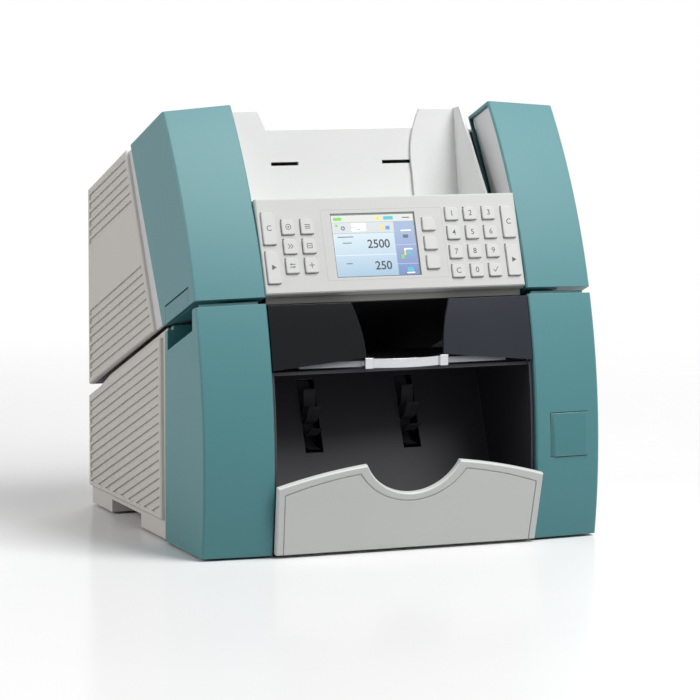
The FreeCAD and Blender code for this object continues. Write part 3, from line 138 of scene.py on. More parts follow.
def panel_seat(u: float, v: float, proud: float = 0.0) -> Seat:
    """Seat on the sloping control panel.

    Args:
        u: Place across the panel, in millimetres.
        v: Place up the slope, in millimetres.
        proud: Height above the panel's face, in millimetres.

    Returns:
        The seat, facing out of the panel.
    """
    rise, run = math.sin(PANEL_TILT), math.cos(PANEL_TILT)
    origin = point(u, PANEL_FOOT_Y + v * rise - proud * run, PANEL_FOOT_Z + v * run + proud * rise)
    return Seat(origin, Vector((1, 0, 0)), Vector((0, rise, run)))


def rear_seat(x: float, z: float, y: float = REAR_Y) -> Seat:
    """Seat on the rear face of the housings, facing backwards."""
    return Seat(point(x, y, z), Vector((-1, 0, 0)), Vector((0, 0, 1)))


class Term:
    """Output of a shader node that takes part in Python arithmetic."""

    def __init__(self, tree: "NodeTree", socket: bpy.types.NodeSocket) -> None:
        """Keeps the socket and the tree that it belongs to."""
        self.tree, self.socket = tree, socket

    def _math(self, operation: str, left: "Operand", right: "Operand") -> "Term":
        """One Math node on two values."""
        return self.tree.take("ShaderNodeMath", {"operation": operation}, {0: left, 1: right})

    def __add__(self, other: "Operand") -> "Term":
        """Sum."""
        return self._math("ADD", self, other)

    def __radd__(self, other: "Operand") -> "Term":
        """Sum with a number in front."""
        return self._math("ADD", other, self)

    def __sub__(self, other: "Operand") -> "Term":
        """Difference."""
        return self._math("SUBTRACT", self, other)

    def __rsub__(self, other: "Operand") -> "Term":
        """Difference from a number."""
        return self._math("SUBTRACT", other, self)

    def __mul__(self, other: "Operand") -> "Term":
        """Product."""
        return self._math("MULTIPLY", self, other)

    def __rmul__(self, other: "Operand") -> "Term":
        """Product with a number in front."""
        return self._math("MULTIPLY", other, self)

    def above(self, edge: float) -> "Term":
        """One where the value is over an edge, else nothing."""
        return self._math("GREATER_THAN", self, edge)

    def below(self, edge: float) -> "Term":
        """One where the value is under an edge, else nothing."""
        return self._math("LESS_THAN", self, edge)

    def between(self, low: float, high: float) -> "Term":
        """One where the value is between two edges, else nothing."""
        return self.above(low) * self.below(high)

    def eased(self, low: float, high: float) -> "Term":
        """The value brought from a span to nothing and one, and held outside it."""
        span = {0: self, 1: low, 2: high, 3: 0.0, 4: 1.0}
        return self.tree.take("ShaderNodeMapRange", {"clamp": True}, span)


Operand = Term | float


class NodeTree:
    """Nodes of a finish or of the sky, added one by one and linked."""

    def __init__(self, tree: bpy.types.NodeTree) -> None:
        """Keeps the nodes and the links of a tree."""
        self.nodes, self.links = tree.nodes, tree.links

    def add(self, kind: str, settings: dict[str, Any] | None = None,
            inputs: dict[Any, Any] | None = None) -> bpy.types.Node:
        """Adds any node.

        Args:
            kind: Type of the node.
            settings: Its own settings, set first.
            inputs: Values or terms for its sockets, by name or number.

        Returns:
            The node.
        """
        node = self.nodes.new(kind)
        for name, value in (settings or {}).items():
            setattr(node, name, value)
        for key, value in (inputs or {}).items():
            self.feed(node.inputs[key], value)
        return node

    def take(self, kind: str, settings: dict[str, Any] | None = None, inputs: dict[Any, Any] | None = None,
             output: Any = 0) -> Term:
        """Adds any node and takes one of its outputs, by name or number, as a term."""
        return Term(self, self.add(kind, settings, inputs).outputs[output])

    def feed(self, socket: bpy.types.NodeSocket, value: Any) -> None:
        """Links a term to a socket, or sets a plain value on it.

        Args:
            socket: Socket to feed.
            value: Term or plain value.
        """
        if isinstance(value, Term):
            self.links.new(value.socket, socket)
        else:
            socket.default_value = value

    def seen(self) -> Term:
        """Mask of the rays that come from the camera, a mirror image or a clear piece.

        Returns:
            One for such rays, nothing for the rest.
        """
        path = self.add("ShaderNodeLightPath")
        camera, glossy, clear = (Term(self, path.outputs[f"Is {kind} Ray"])
                                 for kind in ("Camera", "Glossy", "Transmission"))
        return (camera + glossy + clear).above(0.5)


class FinishTree(NodeTree):
    """Node tree of one finish, built round its Principled shader."""

    def __init__(self, name: str) -> None:
        """Starts a material with no pattern on it.

        Args:
            name: Name of the finish.
        """
        self.material = bpy.data.materials.new(name)
        self.material.use_nodes = True
        super().__init__(self.material.node_tree)
        self.shader = self.nodes["Principled BSDF"]
        self.place = self.take("ShaderNodeTexCoord", output="Object")

    def surface(self, values: dict[str, Any]) -> None:
        """Feeds the shader's own sockets, by name."""
        for name, value in values.items():
            self.feed(self.shader.inputs[name], value)

    def noise(self, scale: float, detail: float = 2.0, stretch: Triple | None = None) -> Term:
        """Noise over the piece.

        Args:
            scale: Number of waves in a metre.
            detail: Number of finer layers.
            stretch: Scale of each axis, for a brushed or drawn-out pattern.

        Returns:
            The noise, from nothing to one.
        """
        where = self.place
        if stretch is not None:
            where = self.take("ShaderNodeMapping", None, {"Vector": self.place, "Scale": stretch})
        return self.take("ShaderNodeTexNoise", None, {"Vector": where, "Scale": scale, "Detail": detail})

    def mix(self, mask: Operand, first: Any, second: Any) -> Term:
        """Colour that goes from the first to the second by a mask."""
        return self.take("ShaderNodeMix", {"data_type": "RGBA"}, {0: mask, 6: first, 7: second}, 2)

    def axes(self) -> tuple[Term, Term, Term]:
        """The three coordinates of the piece, in metres."""
        node = self.add("ShaderNodeSeparateXYZ", None, {0: self.place})
        return Term(self, node.outputs[0]), Term(self, node.outputs[1]), Term(self, node.outputs[2])

    def relief(self, height: Term, strength: float, depth: float, radius: float = 0.0) -> None:
        """Fine relief on the surface, with softened edges.

        Args:
            height: Pattern of the relief.
            strength: Share of the relief that shows.
            depth: Depth of the relief, in metres.
            radius: Rounding that the edges seem to have, in metres.
        """
        inputs: dict[Any, Any] = {"Height": height, "Strength": strength, "Distance": depth}
        if radius:
            inputs["Normal"] = self.softened(radius)
        self.surface({"Normal": self.take("ShaderNodeBump", None, inputs)})

    def softened(self, radius: float) -> Term:
        """Normal of the surface, with its edges rounded."""
        return self.take("ShaderNodeBevel", {"samples": EDGE_SAMPLES}, {"Radius": radius})

    def rubbed(self, radius: float) -> Term:
        """Mask of the edges, where wear lightens them and a painted edge highlight is laid.

        Args:
            radius: Width of the edge band, in metres.

        Returns:
            The mask, one at an edge.
        """
        normals = {0: self.softened(radius), 1: self.take("ShaderNodeNewGeometry", output="Normal")}
        agreement = self.take("ShaderNodeVectorMath", {"operation": "DOT_PRODUCT"}, normals, "Value")
        return (1.0 - agreement).eased(*EDGE_WEAR_AND_HIGHLIGHT_SPAN)


@dataclass(frozen=True)
class Finish:
    """Finish that makes its own material.

    Attributes:
        name: Name of the finish.
    """

    name: str

    def build(self) -> bpy.types.Material:
        """Makes the material.

        Returns:
            The material.
        """
        tree = FinishTree(self.name)
        self.lay(tree)
        return tree.material

    def lay(self, tree: FinishTree) -> None:
        """Lays the patterns of the finish on its tree."""


@dataclass(frozen=True)
class MouldedPlastic(Finish):
    """Injection-moulded plastic with a spark-eroded grain.

    Attributes:
        colour: Web colour code of the plastic.
        roughness: Mean roughness.
        grain: Number of grains in a metre.
        grain_depth: Depth of the grain, in metres.
        cloud: Number of colour clouds in a metre.
        mottle: How far the colour wanders, as a share.
        edge: Rounding of the edges, in metres.
        rub: How far an edge is lightened, partly as wear and partly as painted highlight, as a share.
        gloss: Level of the surface reflection.
    """

    colour: str
    roughness: float = 0.5
    grain: float = 1900.0
    grain_depth: float = 0.00006
    cloud: float = 14.0
    mottle: float = 0.05
    edge: float = 0.0007
    rub: float = 0.12
    gloss: float = 0.5

    def lay(self, tree: FinishTree) -> None:
        """Lays clouds, grain, and edges lightened partly as wear and partly as painted highlight.

        Args:
            tree: Tree of the finish.
        """
        base = linear(self.colour)
        cloudy, fine = tree.noise(self.cloud, 3.0), tree.noise(self.grain)
        dark, light = scaled(base, 1.0 - self.mottle), scaled(base, 1.0 + self.mottle)
        colour = tree.mix(cloudy * 0.7 + fine * 0.3, dark, light)
        # edges are lightened towards white, partly as wear and partly as a painted edge highlight
        tree.surface({
            "Base Color": tree.mix(tree.rubbed(self.edge * 1.6), colour, paler(base, self.rub)),
            "Roughness": self.roughness - 0.05 + cloudy * 0.06 + fine * 0.05,
            "Specular IOR Level": self.gloss,
        })
        tree.relief(fine, 0.35, self.grain_depth, self.edge)


@dataclass(frozen=True)
class Rubber(Finish):
    """Black rubber with fine scuffs.

    Attributes:
        colour: Web colour code.
        ring_pitch: Distance of the turned rings along X, in metres, or nothing for a plain surface.
    """

    colour: str
    ring_pitch: float = 0.0

    def lay(self, tree: FinishTree) -> None:
        """Lays scuffs and turned rings.

        Args:
            tree: Tree of the finish.
        """
        base = linear(self.colour)
        scuff = tree.noise(160.0, 4.0)
        tree.surface({"Base Color": tree.mix(scuff.eased(0.35, 0.75), base, scaled(base, 1.7)),
                      "Roughness": 0.68 + scuff * 0.18})
        height = scuff
        if self.ring_pitch:
            rings = {"Vector": tree.place, "Scale": WAVE_LENGTH / self.ring_pitch}
            height = scuff * 0.3 + tree.take("ShaderNodeTexWave", {"bands_direction": "X"}, rings, "Fac")
        tree.relief(height, 0.5, 0.0001, 0.0004)


@dataclass(frozen=True)
class Metal(Finish):
    """Bare metal with drawn or turned scratches.

    Attributes:
        colour: Web colour code.
        roughness: Mean roughness.
        stretch: Scale of the scratches along each axis.
    """

    colour: str
    roughness: float
    stretch: Triple = (1.0, 30.0, 30.0)

    def lay(self, tree: FinishTree) -> None:
        """Lays scratches.

        Args:
            tree: Tree of the finish.
        """
        base = linear(self.colour)
        scratch = tree.noise(60.0, 5.0, self.stretch)
        tree.surface({"Metallic": 1.0, "Base Color": tree.mix(scratch, scaled(base, 0.82), base),
                      "Roughness": self.roughness - 0.05 + scratch * 0.12})
        tree.relief(scratch, 0.12, 0.00003, 0.0004)


@dataclass(frozen=True)
class ClearPlastic(Finish):
    """Clear or smoked plastic with faint wipe marks.

    Attributes:
        colour: Web colour code.
        alpha: How much of what lies behind is covered.
        roughness: Mean roughness.
        rim_alpha: How much a worn rim covers.
    """

    colour: str
    alpha: float
    roughness: float = 0.08
    rim_alpha: float = 0.9

    def lay(self, tree: FinishTree) -> None:
        """Lays wipe marks, and rims that are denser and lighter, partly as wear and partly as painted
        highlight.

        Args:
            tree: Tree of the finish.
        """
        base = linear(self.colour)
        wipe, rim = tree.noise(20.0, 5.0, (1.0, 3.0, 0.6)), tree.rubbed(0.0009)
        # rims are lightened, partly as wear and partly as a painted edge highlight
        tree.surface({
            "Base Color": tree.mix(wipe * 0.6 + rim * 0.4, base, scaled(base, 1.25)),
            "Roughness": self.roughness + wipe * 0.08,
            "Alpha": self.alpha + rim * ((self.rim_alpha - self.alpha) * 0.8),
            "Specular IOR Level": 0.2,
        })
        tree.relief(wipe, 0.05, 0.00002, 0.0005)


@dataclass(frozen=True)
class PrintedInk(Finish):
    """Printed or lit mark with a little unevenness.

    Attributes:
        colour: Web colour code.
        glow: Strength of its own light, for marks on the display.
    """

    colour: str
    glow: float = 0.0

    def lay(self, tree: FinishTree) -> None:
        """Lays patchy ink, lit where it glows.

        Args:
            tree: Tree of the finish.
        """
        base = linear(self.colour)
        patchy = tree.noise(900.0, 3.0)
        shade = tree.mix(patchy.eased(0.4, 0.8), base, paler(base, 0.06))
        tree.surface({"Base Color": shade, "Roughness": 0.42 + patchy * 0.16})
        tree.relief(patchy, 0.1, 0.00001)
        if self.glow:
            tree.surface({"Emission Color": shade, "Emission Strength": self.glow})


@dataclass(frozen=True)
class CircuitBoard(Finish):
    """Green board with fine copper tracks."""

    def lay(self, tree: FinishTree) -> None:
        """Lays tracks and haze.

        Args:
            tree: Tree of the finish.
        """
        layout = {"Vector": tree.place, "Scale": 90.0, "Mortar Size": 0.05}
        tracks = tree.take("ShaderNodeTexBrick", {"offset": 0.3, "squash": 0.7}, layout, "Fac")
        tree.surface({"Base Color": tree.mix(tracks, linear("14502F"), linear("2F7A4C")),
                      "Roughness": 0.3 + tree.noise(400.0) * 0.2})
        tree.relief(tracks, 0.4, 0.00005)


@dataclass(frozen=True)
class DisplayPicture(Finish):
    """Lit picture of the display, drawn over the glass by its place on the panel, in millimetres.

    Attributes:
        left: Left edge of the picture across the panel.
        right: Right edge of the picture.
        foot: Lower edge of the picture up the slope.
        top: Upper edge of the picture.
        column: Left edge of the column of choices.
        steps: Heights of the lines between the choices.
        bar: Lower edge of the status bar.
        icons: Lower edge of the row of icons.
        rule: Height of the line between the two counts.
    """

    left: float = -47.7
    right: float = 20.7
    foot: float = 11.8
    top: float = 60.4
    column: float = 3.6
    steps: Pair = (20.7, 35.9)
    bar: float = 54.9
    icons: float = 46.2
    rule: float = 28.6

    def lay(self, tree: FinishTree) -> None:
        """Lays the fields and lines of the picture over each other.

        Args:
            tree: Tree of the finish.
        """
        x, y, z = tree.axes()
        u = x * (1.0 / MM)
        deep = y * (1.0 / MM) + (CENTRE_Y - PANEL_FOOT_Y)
        high = z * (1.0 / MM) - PANEL_FOOT_Z
        v = deep * math.sin(PANEL_TILT) + high * math.cos(PANEL_TILT)
        fade = v.eased(self.foot, self.icons)
        low_step, high_step = (v.between(step - 0.3, step + 0.3) for step in self.steps)
        side = tree.mix(fade, linear("2F62B4"), linear("7F9BCB"))
        side = tree.mix((low_step + high_step) * 0.7, side, linear("B9CBE6"))
        colour = tree.mix(fade, linear("8FB9D6"), linear("CFE2EC"))
        for mask, shade in (
                (v.between(self.rule - 0.35, self.rule + 0.35) * 0.6, linear("F2F8FA")),
                (u.above(self.column), side),
                (u.between(self.column - 0.5, self.column) * 0.55, linear("3E62A0")),
                (v.above(self.icons) * u.below(self.column), linear("CDD2D3")),
                (v.between(self.icons - 0.4, self.icons), linear("8E9DA8")),
                (v.above(self.bar), linear("D9DCD2")),
                (v.between(self.bar - 0.35, self.bar), linear("9AA49C"))):
            colour = tree.mix(mask, colour, shade)
        inside = u.between(self.left, self.right) * v.between(self.foot, self.top)
        cells = tree.noise(2600.0, 0.0)
        lit = tree.mix(inside, linear("16191D"), colour)
        tree.surface({
            "Emission Color": tree.mix(cells * 0.06, lit, WHITE), "Emission Strength": 0.82,
            "Base Color": tree.mix(inside, linear("101215"), linear("26323C")),
            "Roughness": 0.14 + cells * 0.06,
        })


class Look(Enum):
    """Finishes of the machine."""

    TEAL = MouldedPlastic("teal_plastic", "508A8F", 0.42, rub=0.14, gloss=0.44)
    PANEL_GREY = MouldedPlastic("warm_grey_plastic", "DAD5CF", 0.55)
    SHELL_WHITE = MouldedPlastic("pale_shell_plastic", "DEDFE0", 0.48)
    HOPPER_WHITE = MouldedPlastic("hopper_white_plastic", "E2E3E2", 0.42)
    PANEL_WHITE = MouldedPlastic("control_panel_plastic", "D2D3D1", 0.5, gloss=0.3)
    # The lip's grey is the panel's white plastic darkened: painted shade under the foot of the panel.
    LIP = MouldedPlastic("panel_lip_painted_shade", "8B8C87", 0.5, gloss=0.3)
    KEY_WHITE = MouldedPlastic("key_plastic", "D8D9D7", 0.44, edge=0.0005, rub=0.3, gloss=0.3)
    PLATE_WHITE = MouldedPlastic("front_plate_plastic", "DCDFDC", 0.42)
    LINER = MouldedPlastic("dark_liner_plastic", "3C3C42", 0.42, gloss=0.3)
    UNDERPLATE = MouldedPlastic("black_plate_plastic", "17171A", 0.5)
    BLACK = MouldedPlastic("black_socket_plastic", "1B1B1E", 0.45)
    LEVER = MouldedPlastic("lever_plastic", "4C848A", 0.42, rub=0.2, gloss=0.44)
    BUTTON = MouldedPlastic("button_plastic", "4F888D", 0.3, edge=0.001, rub=0.4, gloss=0.3)
    # The two covers are one smoked plastic: the left is darker as painted shade, the right lighter as painted
    # light.
    SMOKED_LEFT = ClearPlastic("smoked_cover_left_painted_shade", "0C0F13", 0.92, 0.1)
    SMOKED_RIGHT = ClearPlastic("smoked_cover_right_painted_light", "2E3139", 0.92, 0.2)
    CLEAR = ClearPlastic("clear_bar", "C9CDD2", 0.42)
    BRIGHT = Metal("bright_pull", "D9DADD", 0.2)
    STEEL = Metal("plated_steel", "A9ABAD", 0.34)
    PULLEY = Metal("turned_pulley", "BDBEC0", 0.28, (1.0, 12.0, 12.0))
    MOTOR = MouldedPlastic("motor_paint", "3A3B3E", 0.4)
    FOOT = Rubber("foot_rubber", "26262A")
    ROLLER = Rubber("roller_rubber", "33343A", 0.004)
    BELT = Rubber("belt_rubber", "1F2023", 0.0012)
    FILTER = Rubber("dust_filter_foam", "1D1E20", 0.0009)
    BOARD = CircuitBoard("green_board")
    PICTURE = DisplayPicture("display_picture")
    LEGEND = PrintedInk("key_ink", "43464A")
    SEAM = PrintedInk("seam_shadow", "B9BBB9")
    COUNT = PrintedInk("display_count", "161B26", 0.05)
    SMALL_INK = PrintedInk("display_small_ink", "4A5663", 0.2)
    GREEN = PrintedInk("display_green", "5DA83B", 0.7)
    YELLOW = PrintedInk("display_yellow", "E0B321", 0.7)
    CYAN = PrintedInk("display_cyan", "2F9AA0", 0.7)
    PALE = PrintedInk("display_pale", "EEF2F2", 0.7)
    BLUE = PrintedInk("display_blue", "3E77C4", 0.7)


class Wardrobe:
    """Makes each finish once and hands it out."""

    def __init__(self) -> None:
        """Starts with no finish made."""
        self.made: dict[Look, bpy.types.Material] = {}

    def dress(self, piece: bpy.types.Object, look: Look) -> bpy.types.Object:
        """Gives a piece its finish.

        Args:
            piece: Piece or solid to dress.
            look: Finish to give.

        Returns:
            The same piece.
        """
        if look not in self.made:
            self.made[look] = look.value.build()
        slots = piece.data.materials
        if len(slots):
            for number in range(len(slots)):
                slots[number] = self.made[look]
        else:
            slots.append(self.made[look])
        return piece


class Bench:
    """Models small pieces flat on a bench, as by hand, and sets them on their seats.

    Sizes are in millimetres.
    """

    def clear(self) -> None:
        """Leaves edit mode and drops the whole selection."""
        if bpy.context.object is not None and bpy.context.object.mode != "OBJECT":
            bpy.ops.object.mode_set(mode="OBJECT")
        bpy.ops.object.select_all(action="DESELECT")

    def edit(self) -> bpy.types.Object:
        """Opens the newest piece for editing, with all of it selected.

        Returns:
            The piece.
        """
        piece = bpy.context.object
        bpy.ops.object.mode_set(mode="EDIT")
        bpy.ops.mesh.select_all(action="SELECT")
        return piece

    def solid(self, corner: float, steps: int, line: float, thickness: float) -> None:
        """Rounds the flat piece that is open, hollows it and draws it up into a thin solid.

        Args:
            corner: Radius of the corners, or nothing.
            steps: Number of steps round a corner.
            line: Width of a line along the edge that is all that is left, or nothing.
            thickness: Thickness of the solid.
        """
        if corner:
            bpy.ops.mesh.bevel(offset=corner * MM, segments=steps, affect="VERTICES")
            bpy.ops.mesh.select_all(action="SELECT")
        if line:
            bpy.ops.mesh.inset(thickness=line * MM, depth=0.0)
            bpy.ops.mesh.delete(type="FACE")
            bpy.ops.mesh.select_all(action="SELECT")
        bpy.ops.mesh.extrude_region_move(TRANSFORM_OT_translate={"value": (0.0, 0.0, thickness * MM)})
        bpy.ops.mesh.select_all(action="SELECT")
        bpy.ops.mesh.remove_doubles(threshold=1e-7)
        bpy.ops.mesh.normals_make_consistent(inside=False)
        bpy.ops.object.mode_set(mode="OBJECT")

    def plate(self, width: float, height: float, corner: float, thickness: float = PRINT_THICKNESS,
              line: float = 0.0, steps: int = 5) -> bpy.types.Object:
        """Thin plate with rounded corners, or only a line along its edge.

        Args:
            width: Size along X.
            height: Size along Y.
            corner: Radius of the corners.
            thickness: Thickness, that of a printed mark if not given.
            line: Width of the line, or nothing for a plate.
            steps: Number of steps round a corner.

        Returns:
            The plate, on the bench.
        """
        self.clear()
        bpy.ops.mesh.primitive_plane_add(size=1.0, location=(0.0, 0.0, 0.0))
        piece = self.edit()
        bpy.ops.transform.resize(value=(width * MM, height * MM, 1.0))
        self.solid(corner, steps, line, thickness)
        return piece

    def frame(self, width: float, height: float, line: float, corner: float) -> bpy.types.Object:
        """Thin line round a rectangle."""
        return self.plate(width, height, corner, line=line, steps=4)

    def disc(self, radius: float, corners: int = 32, corner: float = 0.0,
             line: float = 0.0) -> bpy.types.Object:
        """Flat disc, ring, or polygon where it has few corners.

        Args:
            radius: Radius.
            corners: Number of corners.
            corner: Rounding of the corners.
            line: Width of a ring, or nothing for a disc.

        Returns:
            The disc, on the bench.
        """
        self.clear()
        bpy.ops.mesh.primitive_circle_add(vertices=corners, radius=radius * MM, fill_type="NGON")
        piece = self.edit()
        self.solid(corner, 3, line, PRINT_THICKNESS)
        return piece

    def ring(self, radius: float, line: float, corners: int = 40) -> bpy.types.Object:
        """Flat ring."""
        return self.disc(radius, corners, line=line)

    def words(self, text: str, height: float, boldness: float = 0.008) -> bpy.types.Object:
        """Digits or a letter, as a thin solid.

        Args:
            text: What is written.
            height: Height of a digit.
            boldness: Growth of the strokes, as a share of the height.

        Returns:
            The writing, on the bench.
        """
        self.clear()
        bpy.ops.object.text_add(location=(0.0, 0.0, 0.0))
        letters = bpy.context.object.data
        letters.body = text
        letters.align_x = letters.align_y = "CENTER"
        letters.size = height * MM / DIGIT_SHARE
        letters.extrude = PRINT_THICKNESS * MM / 2
        letters.offset = height * MM * boldness
        bpy.ops.object.convert(target="MESH")
        return bpy.context.object

    def join(self, pieces: list[bpy.types.Object]) -> bpy.types.Object:
        """Selects pieces, and nothing else, and joins them into the first of them.

        Args:
            pieces: Pieces to join. A single piece is only selected.

        Returns:
            The joined piece.
        """
        self.clear()
        for piece in pieces:
            piece.select_set(True)
        bpy.context.view_layer.objects.active = pieces[0]
        if len(pieces) > 1:
            bpy.ops.object.join()
        return bpy.context.object

    def copy(self, piece: bpy.types.Object) -> bpy.types.Object:
        """Copies a piece on the bench, with a mesh of its own.

        Args:
            piece: Piece to copy.

        Returns:
            The copy.
        """
        self.join([piece])
        bpy.ops.object.duplicate(linked=False)
        return bpy.context.object

    def set_down(self, piece: bpy.types.Object, seat: Seat) -> bpy.types.Object:
        """Carries a piece to its seat and leaves its object at the origin.

        Args:
            piece: Piece on the bench.
            seat: Where it goes.

        Returns:
            The same piece.
        """
        self.join([piece])
        piece.matrix_world = seat.matrix() @ piece.matrix_world
        bpy.ops.object.transform_apply(location=True, rotation=True, scale=True)
        return piece

    def stroke(self, start: Pair, end: Pair, line: float) -> bpy.types.Object:
        """Straight stroke with round ends, drawn on the bench.

        Args:
            start: First end.
            end: Other end.
            line: Width of the stroke.

        Returns:
            The stroke.
        """
        run, rise = end[0] - start[0], end[1] - start[1]
        length = math.hypot(run, rise)
        piece = self.plate(length + line, line, line * STROKE_ROUND)
        middle = Vector(((start[0] + end[0]) / 2, (start[1] + end[1]) / 2, 0.0)) * MM
        right = Vector((run / length, rise / length, 0.0))
        return self.set_down(piece, Seat(middle, right, Vector((-right.y, right.x, 0.0))))


@dataclass
class SubAssembly:
    """Part of the machine that dresses its solids and adds its own small pieces.

    Attributes:
        bench: Where new pieces are modelled.
        wardrobe: Where finishes are kept.
        nodes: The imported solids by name.
        pieces: Pieces of its own that are finished.
    """

    bench: Bench
    wardrobe: Wardrobe
    nodes: dict[str, bpy.types.Object]
    pieces: list[bpy.types.Object] = field(default_factory=list)

    def finishes(self) -> dict[Look, Names]:
        """Names of the solids that have each finish."""
        return {}

    def build(self) -> None:
        """Models the pieces that the solids leave out."""

    def keep(self, piece: bpy.types.Object, name: str, look: Look, body: str) -> None:
        """Names and dresses a finished piece and lets it ride on its body.

        Args:
            piece: Finished piece.
            name: Its name.
            look: Its finish.
            body: Body that it moves with.
        """
        piece.name = name
        piece.data.name = name
        self.wardrobe.dress(piece, look)
        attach(piece, body)
        self.pieces.append(piece)
        LOG.info("%s rides on %s", name, body)

    def slab(self, name: str, look: Look, body: str, sizes: Sizes, seat: Seat) -> None:
        """Models a rounded plate of given sizes, sets it on its seat and keeps it."""
        self.keep(self.bench.set_down(self.bench.plate(*sizes), seat), name, look, body)

    def dress(self) -> None:
        """Dresses the solids of this part."""
        for look, names in self.finishes().items():
            for name in names:
                self.wardrobe.dress(self.nodes[name], look)
                LOG.info("%s is finished as %s", name, look.name)


@dataclass
class LowerHousing(SubAssembly):
    """Base, wings, feet, side panels, power button and what shows at the rear.

    Sizes are in millimetres.

    Attributes:
        screw_x: Distance of a screw from the middle of the machine.
        screw_z: Heights of the screws on each side.
        screw_proud: Middle of a screw head behind the rear face.
        screw_radius: Radius of a screw head.
        screw_height: Height of a screw head.
        screw_dome: Rounding of a screw head before its cup is sunk.
        cup: Inset and sinking of the rounded top, as shares of the radius.
        cup_floor: How much narrower the top gets as it sinks, as a share.
        pad: Width, height, corner radius and thickness of the dust filter behind the vents.
        pad_place: Middle of the dust filter, across and up.
        pad_depth: Front of the dust filter before the rear face.
        stay: Width, height, corner radius and thickness of the stay between the side frames.
        stay_place: Depth and height of the middle of the stay.
    """

    screw_x: float = 138.0
    screw_z: Triple = (26.0, 82.0, 112.0)
    screw_proud: float = 0.3
    screw_radius: float = 3.2
    screw_height: float = 1.3
    screw_dome: float = 0.6
    cup: Pair = (0.42, 0.25)
    cup_floor: float = 0.72
    pad: Sizes = (68.0, 61.0, 3.0, 1.2)
    pad_place: Pair = (70.0, 57.5)
    pad_depth: float = 3.9
    stay: Sizes = (220.6, 17.0, 0.4, 1.2)
    stay_place: Pair = (277.3, 93.0)

    def finishes(self) -> dict[Look, Names]:
        """Names of the solids that have each finish."""
        return {
            Look.PANEL_GREY: ("base_shell", "lower_left_panel", "lower_right_panel"),
            Look.TEAL: ("left_wing", "right_wing"), Look.BUTTON: ("power_button",),
            Look.FOOT: ("rubber_feet",), Look.BLACK: ("power_inlet",), Look.STEEL: ("side_frames",),
            Look.MOTOR: ("drive_motor",), Look.PULLEY: ("motor_pulley",), Look.BELT: ("drive_belt",),
            Look.ROLLER: ("transport_roller",),
        }

    def screw(self) -> bpy.types.Object:
        """Screw head with a raised rim round a deep cup, on the bench.

        Returns:
            The screw head.
        """
        self.bench.clear()
        bpy.ops.mesh.primitive_cylinder_add(vertices=32, radius=self.screw_radius * MM,
                                            depth=self.screw_height * MM)
        piece = bpy.context.object
        bpy.ops.object.mode_set(mode="EDIT")
        bpy.ops.mesh.select_all(action="DESELECT")
        bpy.ops.object.mode_set(mode="OBJECT")
        self.open_top(piece)
        bpy.ops.mesh.bevel(offset=self.screw_dome * MM, segments=4, affect="EDGES")
        bpy.ops.object.mode_set(mode="OBJECT")
        # the rounded faces are still selected, so the whole top is inset and sunk
        self.open_top(piece)
        inset, depth = (self.screw_radius * share * MM for share in self.cup)
        bpy.ops.mesh.inset(thickness=inset, depth=0.0)
        bpy.ops.mesh.extrude_region_move(TRANSFORM_OT_translate={"value": (0.0, 0.0, -depth)})
        bpy.ops.transform.resize(value=(self.cup_floor, self.cup_floor, 1.0))
        bpy.ops.object.mode_set(mode="OBJECT")
        return piece

    def open_top(self, piece: bpy.types.Object) -> None:
        """Adds the topmost face of a piece to the selection and opens the piece for editing.

        Args:
            piece: Piece on the bench.
        """
        top = max(vertex.co.z for vertex in piece.data.vertices)
        for face in piece.data.polygons:
            face.select = face.center.z > top - FLUSH * MM
        bpy.ops.object.mode_set(mode="EDIT")

    def build(self) -> None:
        """Models the rear screws, the dust filter behind the vents and the stay above it."""
        places = [(side * self.screw_x, z) for side in (-1, 1) for z in self.screw_z]
        model = self.screw()
        for number, (x, z) in enumerate(places, 1):
            seat = rear_seat(x, z, REAR_Y + self.screw_proud)
            piece = self.bench.set_down(self.bench.copy(model), seat)
            self.keep(piece, f"rear_screw_{number}", Look.STEEL, "chassis" if z < PARTING_Z else "head")
        bpy.data.objects.remove(model)
        seat = rear_seat(*self.pad_place, REAR_Y - self.pad_depth)
        self.slab("vent_dust_filter", Look.FILTER, "chassis", self.pad, seat)
        depth, height = self.stay_place
        self.slab("rear_stay", Look.BLACK, "chassis", self.stay, rear_seat(0.0, height, depth))


@dataclass
class Stacker(SubAssembly):
    """Stacker pocket, its front plate and wheels."""

    def finishes(self) -> dict[Look, Names]:
        """Names of the solids that have each finish."""
        return {Look.LINER: ("stacker_pocket",), Look.PLATE_WHITE: ("stacker_front",),
                Look.ROLLER: ("stacker_wheels",)}


@dataclass
class RejectFlap(SubAssembly):
    """Smoked covers with their bars and the bright pull."""

    def finishes(self) -> dict[Look, Names]:
        """Names of the solids that have each finish."""
        # the covers take a shaded and a lit copy of one smoked plastic: painted shade on the left, painted
        # light on the right
        return {Look.SMOKED_LEFT: ("reject_cover_left",), Look.SMOKED_RIGHT: ("reject_cover_right",),
                Look.BRIGHT: ("reject_bracket",), Look.CLEAR: ("reject_stop_bars",)}


@dataclass
class Head(SubAssembly):
    """Hinged head with its cheeks, hopper and guides."""

    def finishes(self) -> dict[Look, Names]:
        """Names of the solids that have each finish."""
        return {
            Look.TEAL: ("left_cheek", "right_cheek"), Look.SHELL_WHITE: ("head_shell",),
            Look.LEVER: ("release_lever_left", "release_lever_right"), Look.UNDERPLATE: ("head_underplate",),
            Look.PANEL_GREY: ("upper_left_panel", "upper_right_panel"), Look.ROLLER: ("feed_roller",),
            Look.HOPPER_WHITE: ("hopper_bed", "hopper_guide_left", "hopper_guide_right"),
        }


class Sign(Enum):
    """Shapes printed on the keys."""

    LETTER = "letter"
    ARROW = "arrow"
    TICK = "tick"
    RING = "ring"
    BARS = "bars"
    CHEVRONS = "chevrons"
    SQUARES = "squares"
    SLIDERS = "sliders"
    PLUS = "plus"


